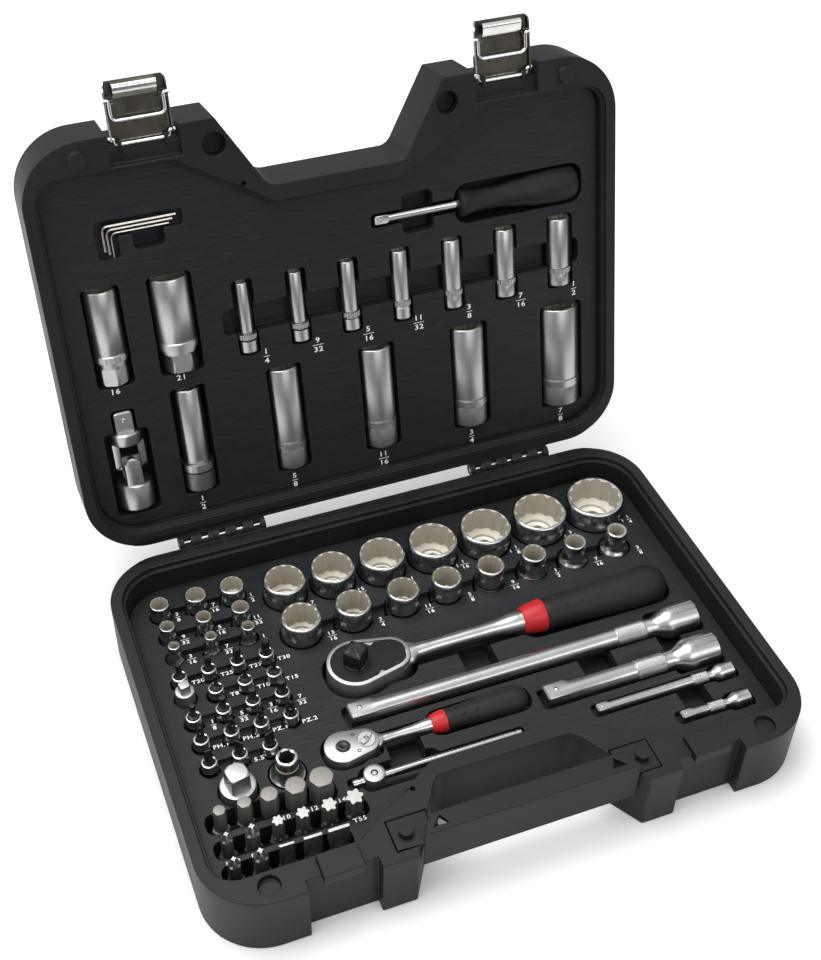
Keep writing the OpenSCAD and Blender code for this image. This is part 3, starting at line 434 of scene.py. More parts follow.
def lying(at, direction, top, matrix=Matrix()):
    """Local Z along direction and local Y towards top, with the origin at a point given in metres."""
    z = Vector(direction).normalized()
    y = (Vector(top) - Vector(top).dot(z) * z).normalized()
    x = y.cross(z)
    turn = Matrix((x, y, z)).transposed().to_4x4()
    return matrix @ Matrix.Translation(Vector(at)) @ turn


def along_x(at):
    return lying(at, (1, 0, 0), (0, 0, 1))


# ---- standing sockets ----


def measured_socket(co):
    """A standing socket's sizes, in millimetres, from the vertices of its CAD solid."""
    lo, hi = box_of(co)
    centre = (lo + hi) / 2
    radius = np.hypot(co[:, 0] - centre.x, co[:, 1] - centre.y) / MM
    height = co[:, 2]
    top = radius[height > hi.z - 0.01 * MM]
    bottom = radius[height < lo.z + 0.01 * MM]
    return {
        "at": Vector((centre.x, centre.y, lo.z)),
        "height": (hi.z - lo.z) / MM,
        "outer": top.max(),
        "ridge": top.min(),
        "foot": radius.max(),
        "drive": bottom.min() * math.sqrt(2),
    }


def socket_rings(outer, ridge, foot, height, drive, foot_top):
    """A socket on its drive end: outside from the bottom up, then down the flutes and the drive hole."""
    flute = ridge * math.cos(TURN / 24) / math.cos(TURN / 12)
    bore = max(ridge * 0.64, drive * 0.62)
    floor = height * 0.5
    rings = [(0, foot - 0.8), (0.8, foot)]
    if foot > outer + 0.4:
        rings.append((foot_top - 1.2, foot))
        for i in range(7):
            s = i / 6
            flare = (foot - outer - 0.4) * (1 - s) ** 2.4
            rings.append((foot_top - 0.6 + (foot - outer + 3.2) * s, outer + flare))
    else:
        rings += [(height * 0.3, foot), (height * 0.31, foot - 0.25), (height * 0.36, foot - 0.25),
                  (height * 0.37, foot)]
    edge = min(1.6, outer * 0.12)
    rings += [
        (height - edge, outer), (height - edge * 0.45, outer - edge * 0.25),
        (height - edge * 0.1, outer - edge * 0.6), (height, outer - edge * 0.95),
        (height, flute + 0.15), (height - 0.5, fluted(ridge + 0.15, flute + 0.05), 1),
        (height - 1.4, fluted(ridge, flute), 1), (floor, fluted(ridge, flute), 1),
        (floor - 0.1, ridge * 0.97, 2), (floor - 0.3, bore + ridge * 0.06, 2), (floor - 1.0, bore, 1),
        (floor - 1.7, bore - 0.1, 1), (floor - 1.9, max(bore - ridge * 0.1, drive * 0.56), 2),
        (floor - 2.6, square(drive, 1.1), 2), (0, square(drive, 1.1), 2),
    ]
    return rings


def standing_sockets(prefix, node):
    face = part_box("base_tray")[1].z
    for i, co in enumerate(solids(node)):
        m = measured_socket(co)
        rings = socket_rings(m["outer"], m["ridge"], m["foot"], m["height"], m["drive"],
                             (face - m["at"].z) / MM + 0.6)
        mesh = loft(prefix, rings, closed=True)
        add_piece(f"{prefix}_{i + 1}", mesh, [CHROME, FLUTE, FLOOR_STEEL], node, Matrix.Translation(m["at"]))


for title, node in (("back_socket", "half_sockets_back"), ("front_socket", "half_sockets_front"),
                    ("small_socket", "quarter_sockets")):
    standing_sockets(title, node)

# ---- deep sockets lying in the lid ----


def measured_deep(co):
    """A lying socket's sizes from its CAD solid, seen with the lid closed: its mouth is at the front."""
    lo, hi = box_of(co)
    x, z = (lo.x + hi.x) / 2, (lo.z + hi.z) / 2
    radius = np.hypot(co[:, 0] - x, co[:, 2] - z) / MM
    mouth = radius[co[:, 1] < lo.y + 0.01 * MM]
    drive = radius[co[:, 1] > hi.y - 0.01 * MM]
    return {
        "at": Vector((x, lo.y, z)), "length": (hi.y - lo.y) / MM, "outer": mouth.max(),
        "ridge": mouth.min(), "foot": drive.max(), "band": radius.max(), "drive": drive.min() * math.sqrt(2),
    }


def deep_rings(outer, ridge, foot, band, length, drive):
    flute = ridge * math.cos(TURN / 24) / math.cos(TURN / 12)
    start, end = length * 0.73, length * 0.8
    band = max(band, outer + 0.45)
    neck = min(outer, foot) - 0.25
    rings = [
        (0, outer - 0.9), (0.25, outer - 0.45), (1.0, outer), (start - 0.8, outer),
        (start - 0.3, outer - 0.35), *knurl_band(start, end, band, 36, 1), (end + 0.2, neck),
        (end + 0.9, neck), (end + 1.4, foot, 3), (length - 1, foot, 3), (length, foot - 1, 3),
        (length, square(drive, 1.4), 3), (length * 0.76, square(drive, 1.4), 2),
        (length * 0.6, min(ridge, drive / 2) * 0.85, 2), (length * 0.6, fluted(ridge, flute), 2),
        (0.8, fluted(ridge, flute), 2), (0, flute + 0.3, 2),
    ]
    return rings


def deep_sockets(prefix, node, foot):
    for i, co in enumerate(solids(node, CLOSED)):
        m = measured_deep(co)
        rings = deep_rings(m["outer"], m["ridge"], m["foot"], m["band"], m["length"], m["drive"])
        mesh = loft(prefix, rings, closed=True)
        place = lying(m["at"], (0, 1, 0), (0, 0, -1), OPEN)
        add_piece(f"{prefix}_{i + 1}", mesh, [SATIN, KNURL, FLUTE, foot], node, place)


deep_sockets("large_deep_socket", "half_deep_sockets", MARKED)
deep_sockets("small_deep_socket", "quarter_deep_sockets", SATIN)


def plug_socket(i, co):
    m = measured_deep(co)
    length, outer = m["length"], m["outer"]
    turn = TURN / 12 * (0.8, 0)[i]
    across = outer * 1.86 * math.cos(TURN / 12)
    hexa = hexagon(across, turn)
    rings = [
        (0, outer - 0.9), (0.3, outer - 0.4), (1.1, outer), (length * 0.66, outer),
        (length * 0.67, outer - 0.3),
        *knurl_band(length * 0.68, length * 0.745, max(m["band"], outer + 0.4), 40, 1),
        (length * 0.75, outer - 0.6), (length * 0.79, outer - 0.6), (length * 0.795, outer - 1.2),
        (length * 0.805, outer - 1.2), (length * 0.815, cut(hexa, outer * 0.88)),
        (length * 0.84, hexa), (length - 1.6, hexa), (length, cut(hexa, outer * 0.86)),
        (length, square(HALF_HOLE, 1.4)), (length * 0.77, square(HALF_HOLE, 1.4), 2),
        (length * 0.68, m["ridge"] - 2, 2), (length * 0.67, m["ridge"], 2), (0.8, m["ridge"], 2),
        (0, m["ridge"] + 0.6, 2),
    ]
    mesh = loft("plug_socket", rings, closed=True)
    add_piece(f"plug_socket_{i + 1}", mesh, [SATIN, KNURL, FLUTE], "plug_sockets",
              lying(m["at"], (0, 1, 0), (0, 0, -1), OPEN))


for number, co in enumerate(solids("plug_sockets", CLOSED)):
    plug_socket(number, co)

# ---- bits ----


def bit_sleeves():
    for i, co in enumerate(solids("bit_sockets")):
        lo, hi = box_of(co)
        width, _, h = extent(lo, hi)
        r = width / 2
        hexa = hexagon(6.55)
        rings = [
            (0, r - 0.5), (0.5, r), (h - 1.2, r), (h - 0.35, r - 0.3), (h, r - 0.9),
            (h, 4.1), (h - 0.5, hexa), (9, hexa, 1), (8.4, 2.6, 1), (8, square(6.45, 1.4), 1),
            (0, square(6.45, 1.4), 1),
        ]
        mesh = loft("bit_sleeve", rings, closed=True, segments=48)
        at = foot(lo, hi)
        add_piece(f"bit_sleeve_{i + 1}", mesh, [CHROME, FLUTE], "bit_sockets", Matrix.Translation(at))


def bit_rings(shank, shank_h, kind, size, height):
    """A hexagon shank, a shoulder, and a tip of the given kind."""
    hexa = hexagon(shank)
    neck = min(size, shank) * 0.52
    rings = [(0, hexagon(shank - 0.8)), (0.5, hexa), (shank_h - 0.7, hexa)]
    if kind == "cross":
        rings += [
            (shank_h, shank * 0.47), (shank_h + 1, neck), (height - size * 0.75, neck),
            (height - size * 0.7, cross(size * 0.5, size * 0.42)),
            (height - 0.2, cross(size * 0.225, size * 0.135), 1),
            (height, cross(size * 0.2, size * 0.14), 1),
        ]
    elif kind == "slot":
        wide = max(size, shank * 0.9)
        tip = blade(size, max(0.9, size * 0.16))
        rings += [
            (shank_h, shank * 0.48), (shank_h + 1.5, min(neck + 0.6, wide / 2)),
            (shank_h + (height - shank_h) * 0.45, blade(wide, size * 0.42)),
            (height - 1.2, tip), (height, tip, 1),
        ]
    elif kind == "hex":
        rings += [
            (shank_h, hexagon(min(shank, size) - 0.2)), (shank_h + 0.8, hexagon(size)),
            *turned_end(hexagon(size), size * 0.575, size * 0.47, height - size * 0.13, height, 1),
        ]
    else:
        tip, end = star(size / 2, size * 0.36), star((size - 0.6) / 2, (size - 0.6) * 0.36)
        rings += [
            (shank_h, shank * 0.48), (shank_h + 1.2, size * 0.5), (shank_h + 3, size * 0.5),
            (shank_h + 4, tip), (height - 0.4, tip), (height, end, 1),
        ]
    return rings


SMALL_BITS = [
    [("star", 3.9), ("star", 4.4), ("star", 5.0), ("star", 5.5)],
    [("star", 2.3), ("star", 2.8), ("star", 3.3)],
    [("hex", 3.2), ("hex", 4.0), ("hex", 4.8), ("hex", 5.6)],
    [("cross", 4.5), ("cross", 5.8), ("cross", 4.5), ("cross", 5.8)],
    [("slot", 4.0), ("slot", 5.5), ("slot", 6.3)],
]
LARGE_BITS = {
    "star_bits": [("cross", 7.0), ("cross", 8.6), ("star", 7.8), ("star", 8.8), ("star", 10.0),
                  ("star", 11.6)],
    "slotted_bits": [("cross", 7.4), ("cross", 8.6), ("slot", 9.0), ("slot", 11.0), ("slot", 13.0)],
}


def rows_of(found):
    """Solids grouped into rows from the back of the case to its front, each ordered along X."""
    rows = {}
    for co in found:
        rows.setdefault(round(co[:, 1].mean() / (8 * MM)), []).append(co)
    return [sorted(rows[k], key=lambda co: co[:, 0].mean()) for k in sorted(rows, reverse=True)]


def small_bits():
    number = 0
    for row, kinds in zip(rows_of(solids("bit_socket_bits")), SMALL_BITS):
        for co, (kind, size) in zip(row, kinds):
            number += 1
            lo, hi = box_of(co)
            at = foot(lo, hi)
            mesh = loft("bit", bit_rings(QUARTER, 11.5, kind, size, (hi.z - lo.z) / MM), segments=48)
            turn = Matrix.Rotation(random.uniform(0, TURN), 4, "Z") if kind in ("cross", "slot") else Matrix()
            add_piece(f"small_bit_{number}", mesh, [BLACK_STEEL, BLACK_STEEL], "bit_socket_bits",
                      Matrix.Translation(at) @ turn, crease=25)


def large_bits():
    for i, co in enumerate(solids("hex_bits")):
        lo, hi = box_of(co)
        at = foot(lo, hi)
        upper = co[co[:, 2] > hi.z - 0.01 * MM]
        size = (upper[:, 0].max() - upper[:, 0].min()) / MM * math.cos(TURN / 12)
        mesh = loft("hex_bit", bit_rings(BIT_SHANK, 12, "hex", size, (hi.z - lo.z) / MM), segments=48)
        add_piece(f"hex_bit_{i + 1}", mesh, [BIT_STEEL, BIT_TOP], "hex_bits", Matrix.Translation(at),
                  crease=25)
    for node, kinds in LARGE_BITS.items():
        for i, (co, (kind, size)) in enumerate(zip(solids(node), kinds)):
            lo, hi = box_of(co)
            at = foot(lo, hi)
            height = (hi.z - lo.z) / MM + (0, 2.5)[kind == "cross"]
            mesh = loft(node, bit_rings(BIT_SHANK, 12, kind, size, height), segments=96)
            add_piece(f"{node[:-1]}_{i + 1}", mesh, [BIT_STEEL, BIT_TIP], node, Matrix.Translation(at),
                      crease=25)


bit_sleeves()
small_bits()
large_bits()

# ---- adapters and the bit holder ----


def adapter(name, node, side):
    lo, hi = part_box(node)
    width, _, h = extent(lo, hi)
    r = width / 2
    shoulder = h - side * 1.02
    drive = square(side, 1.34)
    rings = [
        (0, r - 0.8), (0.8, r), (shoulder - 1.2, r), (shoulder - 0.3, r - 0.4), (shoulder, r - 1.2),
        (shoulder, square(side + 0.5)), (shoulder + 1.2, drive),
        *turned_end(drive, side * 0.67, side * 0.47, h - side * 0.2, h),
    ]
    at = foot(lo, hi)
    place = Matrix.Translation(at) @ Matrix.Rotation(math.radians(11), 4, "Z")
    turned(name, rings, [MATT], node, place)
    spot = place @ Vector((-(side / 2 - 0.1) * MM, 0, (h - side * 0.5) * MM))
    ball(f"{name}_ball", node, spot, side * 0.13, place.to_3x3() @ Vector((-1, 0, 0)))


def bit_holder():
    lo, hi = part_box("bit_holder")
    width, _, h = extent(lo, hi)
    r = width / 2
    neck = 7.2
    hexa = hexagon(8.9)
    rings = [(0, r - 0.8), (0.8, r), (h * 0.45, r)]
    for i in range(9):
        s = i / 8
        rings.append((h * 0.46 + 7.5 * s, neck + (r - 0.5 - neck) * (1 - s) ** 2.1))
    rings += [
        (h * 0.46 + 8.3, neck), (h * 0.46 + 8.5, neck - 0.5, 1), (h * 0.46 + 9.7, neck - 0.5, 1),
        (h * 0.46 + 9.9, neck), (h - 1, neck), (h - 0.2, neck - 0.5), (h, neck - 0.9),
        (h, 5.3), (h - 0.5, hexa), (h - 3, hexa, 2), (h - 12, hexa, 2), (h - 12.3, 1.0, 2),
    ]
    mesh = loft("bit_holder", rings)
    at = foot(lo, hi)
    add_piece("holder", mesh, [CHROME, FLUTE, BORE], "bit_holder", Matrix.Translation(at))


bit_holder()

# ---- bars and rods ----


def extension_bar(name, node, side):
    lo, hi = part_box(node)
    length, _, tall = extent(lo, hi)
    end = tall / 2
    bar = side * 0.5
    start, stop = length - side * 4.7, length - side * 3.05
    rings = [
        (0, square(side - 1.6, 1.3)), (0.9, square(side, 1.3)), (side * 1.12, square(side, 1.3)),
        (side * 1.5, bar), (start - 0.6, bar), (start - 0.3, bar + 0.2),
        *knurl_band(start, stop, bar + 0.4, 26 if side > 8 else 18, 1), (stop + 0.3, bar + 0.2),
        (stop + 0.6, bar - 0.25),
    ]
    for i in range(7):
        s = i / 6
        rings.append((stop + side * (0.5 + 0.95 * s), eased(bar - 0.25, end, s)))
    shoulder = stop + side * 1.45
    flats = square(end * 2 * 0.93, 1.075)
    rings += [
        (shoulder + side * 0.25, end), (shoulder + side * 0.3, flats), (length - 0.9, flats),
        (length, end - 1), (length, square(side + 0.15, 1.36)),
        (length - side * 1.2, square(side + 0.15, 1.36), 2), (length - side * 1.3, 0.5, 2),
    ]
    mesh = loft(name, rings)
    at = left_end(lo, hi)
    add_piece(name, mesh, [SATIN, KNURL, FLUTE], node, along_x(at))
    ball(f"{name}_ball", node, at + Vector((side * 0.6, 0, side / 2 - 0.12)) * MM, side * 0.14)


def ball(name, node, at, radius, out=(0, 0, 1)):
    """A detent ball standing a little out of its staked seat, on a face that looks along out."""
    rings = [(-0.25, radius * 1.9), (-0.02, radius * 1.8), (0.02, radius * 1.5), (-0.06, radius * 1.15)]
    for i in range(6):
        a = TURN / 4 * i / 5.3
        rings.append((-0.05 + radius * 0.5 * math.sin(a), radius * math.cos(a), 1))
    place = Vector(out).to_track_quat("Z", "Y").to_matrix().to_4x4()
    place.translation = at
    turned(name, rings, [SATIN, CHROME], node, place, segments=32)


adapter("large_adapter", "half_adapter", HALF)
adapter("small_adapter", "quarter_adapter", QUARTER)
for reach, side in ((250, HALF), (125, HALF), (100, QUARTER), (50, QUARTER)):
    extension_bar(f"bar_{reach}", f"extension_{reach}", side)


def t_handle():
    lo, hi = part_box("t_handle_rod")
    length, _, tall = extent(lo, hi)
    r = tall / 2
    rings = [(0, r - 0.7), (0.6, r), (4.2, r), (4.5, r - 0.3), (5.3, r - 0.3), (5.6, r)]
    rings += [(length - z, radius) for z, radius in reversed(rings)]
    turned("t_rod", rings, [CHROME], "t_handle_rod", along_x(left_end(lo, hi)),
           segments=48)
    lo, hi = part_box("t_handle_slider")
    width, _, h = extent(lo, hi)
    r = width / 2
    rings = [(0, r - 0.8), (0.8, r), (h - 1.4, r), (h - 0.5, r - 0.4), (h - 0.1, r - 1.3),
             (h, r - 2.2), (h, 2.3), (h - 0.35, 2.1, 1), (h - 0.35, 1.5, 1), (h - 0.1, 1.3), (h, 0.8)]
    turned("t_slider", rings, [MATT, BLACK_STEEL], "t_handle_slider", Matrix.Translation(foot(lo, hi)),
           segments=64)


t_handle()

# ---- grips ----


def grip_rings(length, start, widest, end_r, flat=0.9):
    """A soft grip along local Z that swells towards its rounded end and is a little flatter than wide."""

    def section(r):
        return lambda t: r / math.hypot(math.cos(t), math.sin(t) / flat)

    rings = [(0, section(start - 0.4)), (0.4, section(start))]
    body = length - end_r
    for i in range(1, 17):
        s = i / 16
        rings.append((0.4 + (body - 0.4) * s, section(eased(start, widest, s))))
    for i in range(1, 12):
        a = TURN / 4 * i / 11
        rings.append((body + end_r * math.sin(a), section(max(widest * math.cos(a) ** 0.75, 0.3))))
    return rings


def grip(name, node, start, widest, end_r, dimples):
    lo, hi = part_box(node)
    at = left_end(lo, hi)
    length = extent(lo, hi)[0]
    turned(name, grip_rings(length, start, widest, end_r), [GRIP], node, along_x(at),
           segments=96, crease=60)
    for i in range(dimples):
        s = 0.1 + 0.42 * i / max(1, dimples - 1)
        side = -1 if i % 2 else 1
        across = side * start * 0.36
        local = eased(start, widest, s)
        top = local * 0.9 * math.sqrt(max(0.0, 1 - (across / local) ** 2))
        spot = at + Vector((s * length, across, top - 0.25)) * MM
        bead = [(0, 1.5), (0.3, 1.45), (0.52, 1.1), (0.62, 0.5)]
        add_piece(f"{name}_bead_{i + 1}", loft("bead", bead, segments=24), [GRIP], node,
                  Matrix.Translation(spot), crease=60)


grip("large_grip", "ratchet_half_grip", 11.4, 14.4, 15, 8)
grip("small_grip", "ratchet_quarter_grip", 7.6, 9.8, 10, 6)


def collar(name, node):
    lo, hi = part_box(node)
    length, _, tall = extent(lo, hi)
    r = tall / 2
    bore = r * 0.5
    rings = [(0, bore), (0, r * 0.74), (0.5, r * 0.78)]
    for i in range(1, 9):
        s = i / 8
        rings.append((0.5 + (length - 1) * s, r * (0.78 + 0.2 * math.sin(s * TURN / 4))))
    rings += [(length, r * 0.96), (length, bore)]
    turned(name, rings, [RED], node, along_x(left_end(lo, hi)), closed=True, segments=64)


collar("large_collar", "ratchet_half_collar")
collar("small_collar", "ratchet_quarter_collar")

# ---- plates cut to an outline ----


def outline_mesh(name, outline, rings):
    """An outline in millimetres stacked at rings of (height, how far it is drawn in)."""
    flat = np.array(outline, dtype=float)
    along = np.roll(flat, -1, 0) - np.roll(flat, 1, 0)
    along /= np.linalg.norm(along, axis=1)[:, None]
    inward = np.stack((-along[:, 1], along[:, 0]), 1)
    verts = [(x * MM, y * MM, z * MM) for z, inset in rings for x, y in flat + inward * inset]
    return skin(name, verts, len(flat), [0] * len(rings))


def stamped(name, outline, rings, materials, node, matrix=Matrix(), crease=32):
    """A piece that is a plate cut to an outline."""
    return add_piece(name, outline_mesh(name, outline, rings), materials, node, matrix, crease)


def arc(x, y, r, start, end, steps):
    """Points on an arc, in degrees, ends included."""
    turn = [math.radians(start + (end - start) * i / steps) for i in range(steps + 1)]
    return [(x + r * math.cos(a), y + r * math.sin(a)) for a in turn]


def pear(r, reach, r2, steps=28):
    """Two circles on the X axis and the straight sides between them."""
    lean = math.degrees(math.acos((r - r2) / reach))
    return arc(0, 0, r, lean, 360 - lean, steps * 2) + arc(reach, 0, r2, -lean, lean, steps)


def peanut(r, reach, r2, steps=28):
    """Two circles on the X axis that cut into each other."""
    x = (reach * reach + r * r - r2 * r2) / (2 * reach)
    y = math.sqrt(r * r - x * x)
    start, end = math.degrees(math.atan2(y, x)), math.degrees(math.atan2(y, x - reach))
    return arc(0, 0, r, start, 360 - start, steps * 2) + arc(reach, 0, r2, -end, end, steps)[1:-1]


def centre_of(node):
    lo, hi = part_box(node)
    return (lo + hi) / 2


def neck(name, node, at, stations, look):
    """A bar along X through (x, half width, half height) stations."""
    rings = []
    for x, wide, tall in stations:
        rings.append((x, lambda t, w=wide, h=tall: 1 / math.hypot(math.cos(t) / w, math.sin(t) / h)))
    mesh = loft(name, rings, segments=48)
    return add_piece(name, mesh, [look], node, along_x(at), crease=50)


def shaft_stations(points_xy, steps=8):
    """Smooth stations between a few (x, half width, half height) ones."""
    out = [points_xy[0]]
    for (x0, w0, h0), (x1, w1, h1) in zip(points_xy, points_xy[1:]):
        for i in range(1, steps + 1):
            s = i / steps
            out.append((x0 + (x1 - x0) * s, eased(w0, w1, s), eased(h0, h1, s)))
    return out


def large_ratchet():
    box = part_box("ratchet_half_body")
    drive = centre_of("ratchet_half_drive")
    r = (box[1].y - box[0].y) / 2 / MM
    at = Vector((drive.x, drive.y, box[1].z))
    thick = (box[1].z - box[0].z) / MM
    outline = pear(r, LARGE_REACH, LARGE_LOBE)
    rim = 2.6
    rings = [(-thick, 1.4), (-thick + 1.4, 0), (-1.1, 0), (-0.35, 0.35), (0, 1.1), (0, rim),
             (-1.6, rim + 0.1)]
    stamped("large_head", outline, rings, [MATT], "ratchet_half_body", Matrix.Translation(at))
    plate = peanut(r - rim + 0.3, LARGE_REACH - 2, LARGE_LOBE - 1.3)
    rings = [(-1.8, 0), (-0.35, 0), (-0.1, 0.3)]
    stamped("large_plate", plate, rings, [BLACK_PLATE], "ratchet_half_plate", Matrix.Translation(at))
    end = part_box("ratchet_half_collar")[0].x
    length = (end - at.x) / MM + 4
    middle = Vector((at.x, at.y, centre_of("ratchet_half_grip").z))
    neck("large_neck", "ratchet_half_body", middle, shaft_stations([
        (LARGE_REACH + 6, 13.4, 5.2), (LARGE_REACH + 13, 9.5, 5.2), (LARGE_REACH + 20, 5.6, 5.1),
        (LARGE_REACH + 34, 4.9, 4.9), (length - 26, 5.5, 5.4), (length - 7, 7.6, 7.4),
        (length, 7.9, 7.7)]), SATIN)
    head_screws("large_screw", "ratchet_half_screws", 1.6, at.z - 0.1 * MM)
    large_drive(drive, at.z)
    large_lever(at - Vector((0, 0, thick * MM)))


def head_screws(prefix, node, r, z):
    """Small pan heads with a hexagon recess."""
    for i, co in enumerate(solids(node)):
        mesh = loft("screw_head", [(-1.2, r), (0.1, r), (0.3, r - 0.2), (0.35, r - 0.5),
                                   (0.35, hexagon(r)), (-0.5, hexagon(r))], segments=36)
        add_piece(f"{prefix}_{i + 1}", mesh, [BLACK_STEEL], node, Matrix.Translation(foot(*box_of(co), z)))


def large_drive(drive, face_z):
    top = (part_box("ratchet_half_drive")[1].z - face_z) / MM
    side = HALF
    rings = [(-1.5, 8.0), (0.6, 8.0), (1.1, 7.5), (1.1, square(side, 1.33)), (3.5, square(side, 1.34)),
             (top - 1.4, square(side, 1.34)), (top - 0.4, square(side - 1.3, 1.32)),
             (top, square(side - 2.4, 1.3)), (top, 3.0), (top - 0.25, 2.7), (top - 0.3, 1.9),
             (top - 0.05, 1.6), (top, 1.0)]
    turn = Matrix.Rotation(math.radians(DRIVE_TURN), 4, "Z")
    place = Matrix.Translation(Vector((drive.x, drive.y, face_z))) @ turn
    turned("large_drive_square", rings, [BLACK_STEEL], "ratchet_half_drive", place)
    local = Vector(((side / 2 - 0.12) * MM, 0, (top - 5.6) * MM))
    ball("large_drive_ball", "ratchet_half_drive", place @ local, 1.75, place.to_3x3() @ Vector((1, 0, 0)))


def large_lever(under):
    outline = pear(7.5, 9.5, 3.9, 14)
    rings = [(-3, 0.8), (-2.3, 0), (-0.4, 0), (-0.25, 0.3)]
    stamped("large_lever", outline, rings, [BLACK_STEEL], "ratchet_half_lever", Matrix.Translation(under))


def small_ratchet():
    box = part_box("ratchet_quarter_body")
    drive = centre_of("ratchet_quarter_drive")
    r = (box[1].y - box[0].y) / 2 / MM
    at = Vector((drive.x, drive.y, box[1].z))
    thick = (box[1].z - box[0].z) / MM
    rings = [(-thick, 0.9), (-thick + 0.9, 0), (-0.9, 0), (-0.3, 0.3), (0, 0.9)]
    stamped("small_head", pear(r, SMALL_REACH, SMALL_LOBE), rings, [MATT], "ratchet_quarter_body",
            Matrix.Translation(at))
    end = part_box("ratchet_quarter_collar")[0].x
    length = (end - at.x) / MM + 3
    middle = Vector((at.x, at.y, centre_of("ratchet_quarter_grip").z))
    neck("small_neck", "ratchet_quarter_body", middle, shaft_stations([
        (SMALL_REACH + 4, 8.6, 4.0), (SMALL_REACH + 9, 5.6, 3.8), (SMALL_REACH + 13, 3.4, 3.4), (36, 3.0, 3.1),
        (length - 16, 3.6, 3.5), (length - 4, 4.9, 4.7), (length, 5.1, 4.9)]), SATIN)
    head_screws("small_screw", "ratchet_quarter_screws", 1.35, at.z - 0.15 * MM)
    top = (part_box("ratchet_quarter_button")[1].z - at.z) / MM
    rings = [(-1, 3.9), (top - 0.6, 3.9), (top - 0.15, 3.5), (top, 2.9), (top - 0.05, 2.2),
             (top - 0.35, 1.4), (top - 0.4, 0.3)]
    turned("small_button", rings, [BLACK_STEEL], "ratchet_quarter_button",
           Matrix.Translation(Vector((drive.x, drive.y, at.z))), segments=48)
    rings = [(0, 5.0, 1), (0.12, 4.6, 1), (0.12, 4.2, 1), (0, 3.8, 1)]
    turned("small_button_ring", rings, [SATIN, BLACK_STEEL], "ratchet_quarter_body",
           Matrix.Translation(Vector((drive.x, drive.y, at.z - 0.06 * MM))), closed=True, segments=64)
    small_reverser(at.z)


def small_reverser(face_z):
    """A thumb disc with a raised pointer rib across it."""
    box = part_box("ratchet_quarter_lever")
    disc = Vector((box[1].x, (box[0].y + box[1].y) / 2, face_z))
    r = (box[1].y - box[0].y) / 2 / MM
    disc.x -= r * MM
    rings = [(-0.4, r), (0.5, r), (0.8, r - 0.4)]
    turn = Matrix.Translation(disc) @ Matrix.Rotation(math.radians(35), 4, "Z")
    turned("small_reverser_disc", rings, [MATT], "ratchet_quarter_lever", turn, segments=64)
    rib = [(-r + 0.7, -1.7), (-0.5, -2.3), (r - 1.0, -1.0), (r - 0.7, 0.0), (r - 1.0, 1.0), (-0.5, 2.3),
           (-r + 0.7, 1.7)]
    rings = [(0.6, 0), (1.7, 0.15), (2.0, 0.5)]
    stamped("small_reverser_rib", rib, rings, [MATT], "ratchet_quarter_lever", turn, crease=25)
    ring = [(1.95, 1.5), (2.15, 1.3), (2.15, 0.9), (1.95, 0.7)]
    turned("small_reverser_pivot", ring, [BLACK_STEEL], "ratchet_quarter_lever", turn, closed=True,
           segments=32)


def under_square():
    """The small ratchet's square drive looks down."""
    lo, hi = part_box("ratchet_quarter_drive")
    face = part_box("ratchet_quarter_body")[0].z
    at = foot(lo, hi, face)
    top = (face - lo.z) / MM
    rings = [(-0.4, 6.4), (0.2, 6.4), (0.4, 6.0), (0.4, square(QUARTER)), (top - 0.9, square(QUARTER)),
             (top, square(5.2, 1.3))]
    turned("small_drive_square", rings, [BLACK_STEEL], "ratchet_quarter_drive",
           lying(at, (0, 0, -1), (0, 1, 0)))


large_ratchet()
small_ratchet()
under_square()

# ---- spinner and hex keys ----


def spinner():
    co = points("spinner_shaft", CLOSED)
    lo, hi = box_of(co)
    axis = left_end(lo, hi)
    grip_lo, grip_hi = box_of(points("spinner_grip", CLOSED))
    start = (grip_lo.x - lo.x) / MM
    rings = [(0, square(5.2, 1.3)), (0.7, square(QUARTER)), (8.4, square(QUARTER)), (10, 3.2), (start + 2, 3.2)]
    place = lying(axis, (1, 0, 0), (0, 0, -1), OPEN)
    turned("spinner_bar", rings, [CHROME], "spinner_shaft", place, segments=64)
    length = (grip_hi.x - grip_lo.x) / MM
    r = (grip_hi.z - grip_lo.z) / 2 / MM
    profile = [(0, r * 0.62), (0.5, r * 0.74), (1.6, r * 0.79), (3, r * 0.78), (9, r * 0.66), (16, r * 0.58),
               (length * 0.3, r * 0.6), (length * 0.5, r * 0.78), (length * 0.64, r * 0.92), (length * 0.78, r),
               (length * 0.9, r * 0.985), (length * 0.95, r * 0.92), (length * 0.98, r * 0.78),
               (length * 0.994, r * 0.55), (length, r * 0.3)]

    def section(radius, depth):
        return lambda t: radius - depth * (0.5 + 0.5 * math.cos(6 * t)) ** 3

    rings = []
    for (z0, r0), (z1, r1) in zip(profile, profile[1:]):
        steps = max(1, int((z1 - z0) / 2.5))
        for i in range(steps):
            s = i / steps
            z = z0 + (z1 - z0) * s
            swell = max(0.0, math.sin(min(1, max(0, (z / length - 0.25) / 0.7)) * math.pi))
            rings.append((z, section(eased(r0, r1, s), 0.9 * swell)))
    rings.append((length, profile[-1][1]))
    at = Vector((grip_lo.x, axis.y, axis.z))
    turned("spinner_handle", rings, [GRIP], "spinner_grip", lying(at, (1, 0, 0), (0, 0, -1), OPEN), crease=60)
    ball("spinner_ball", "spinner_shaft", place @ Vector((0, 3.1 * MM, 4.2 * MM)), 1.0,
         OPEN.to_3x3() @ Vector((0, 0, -1)))


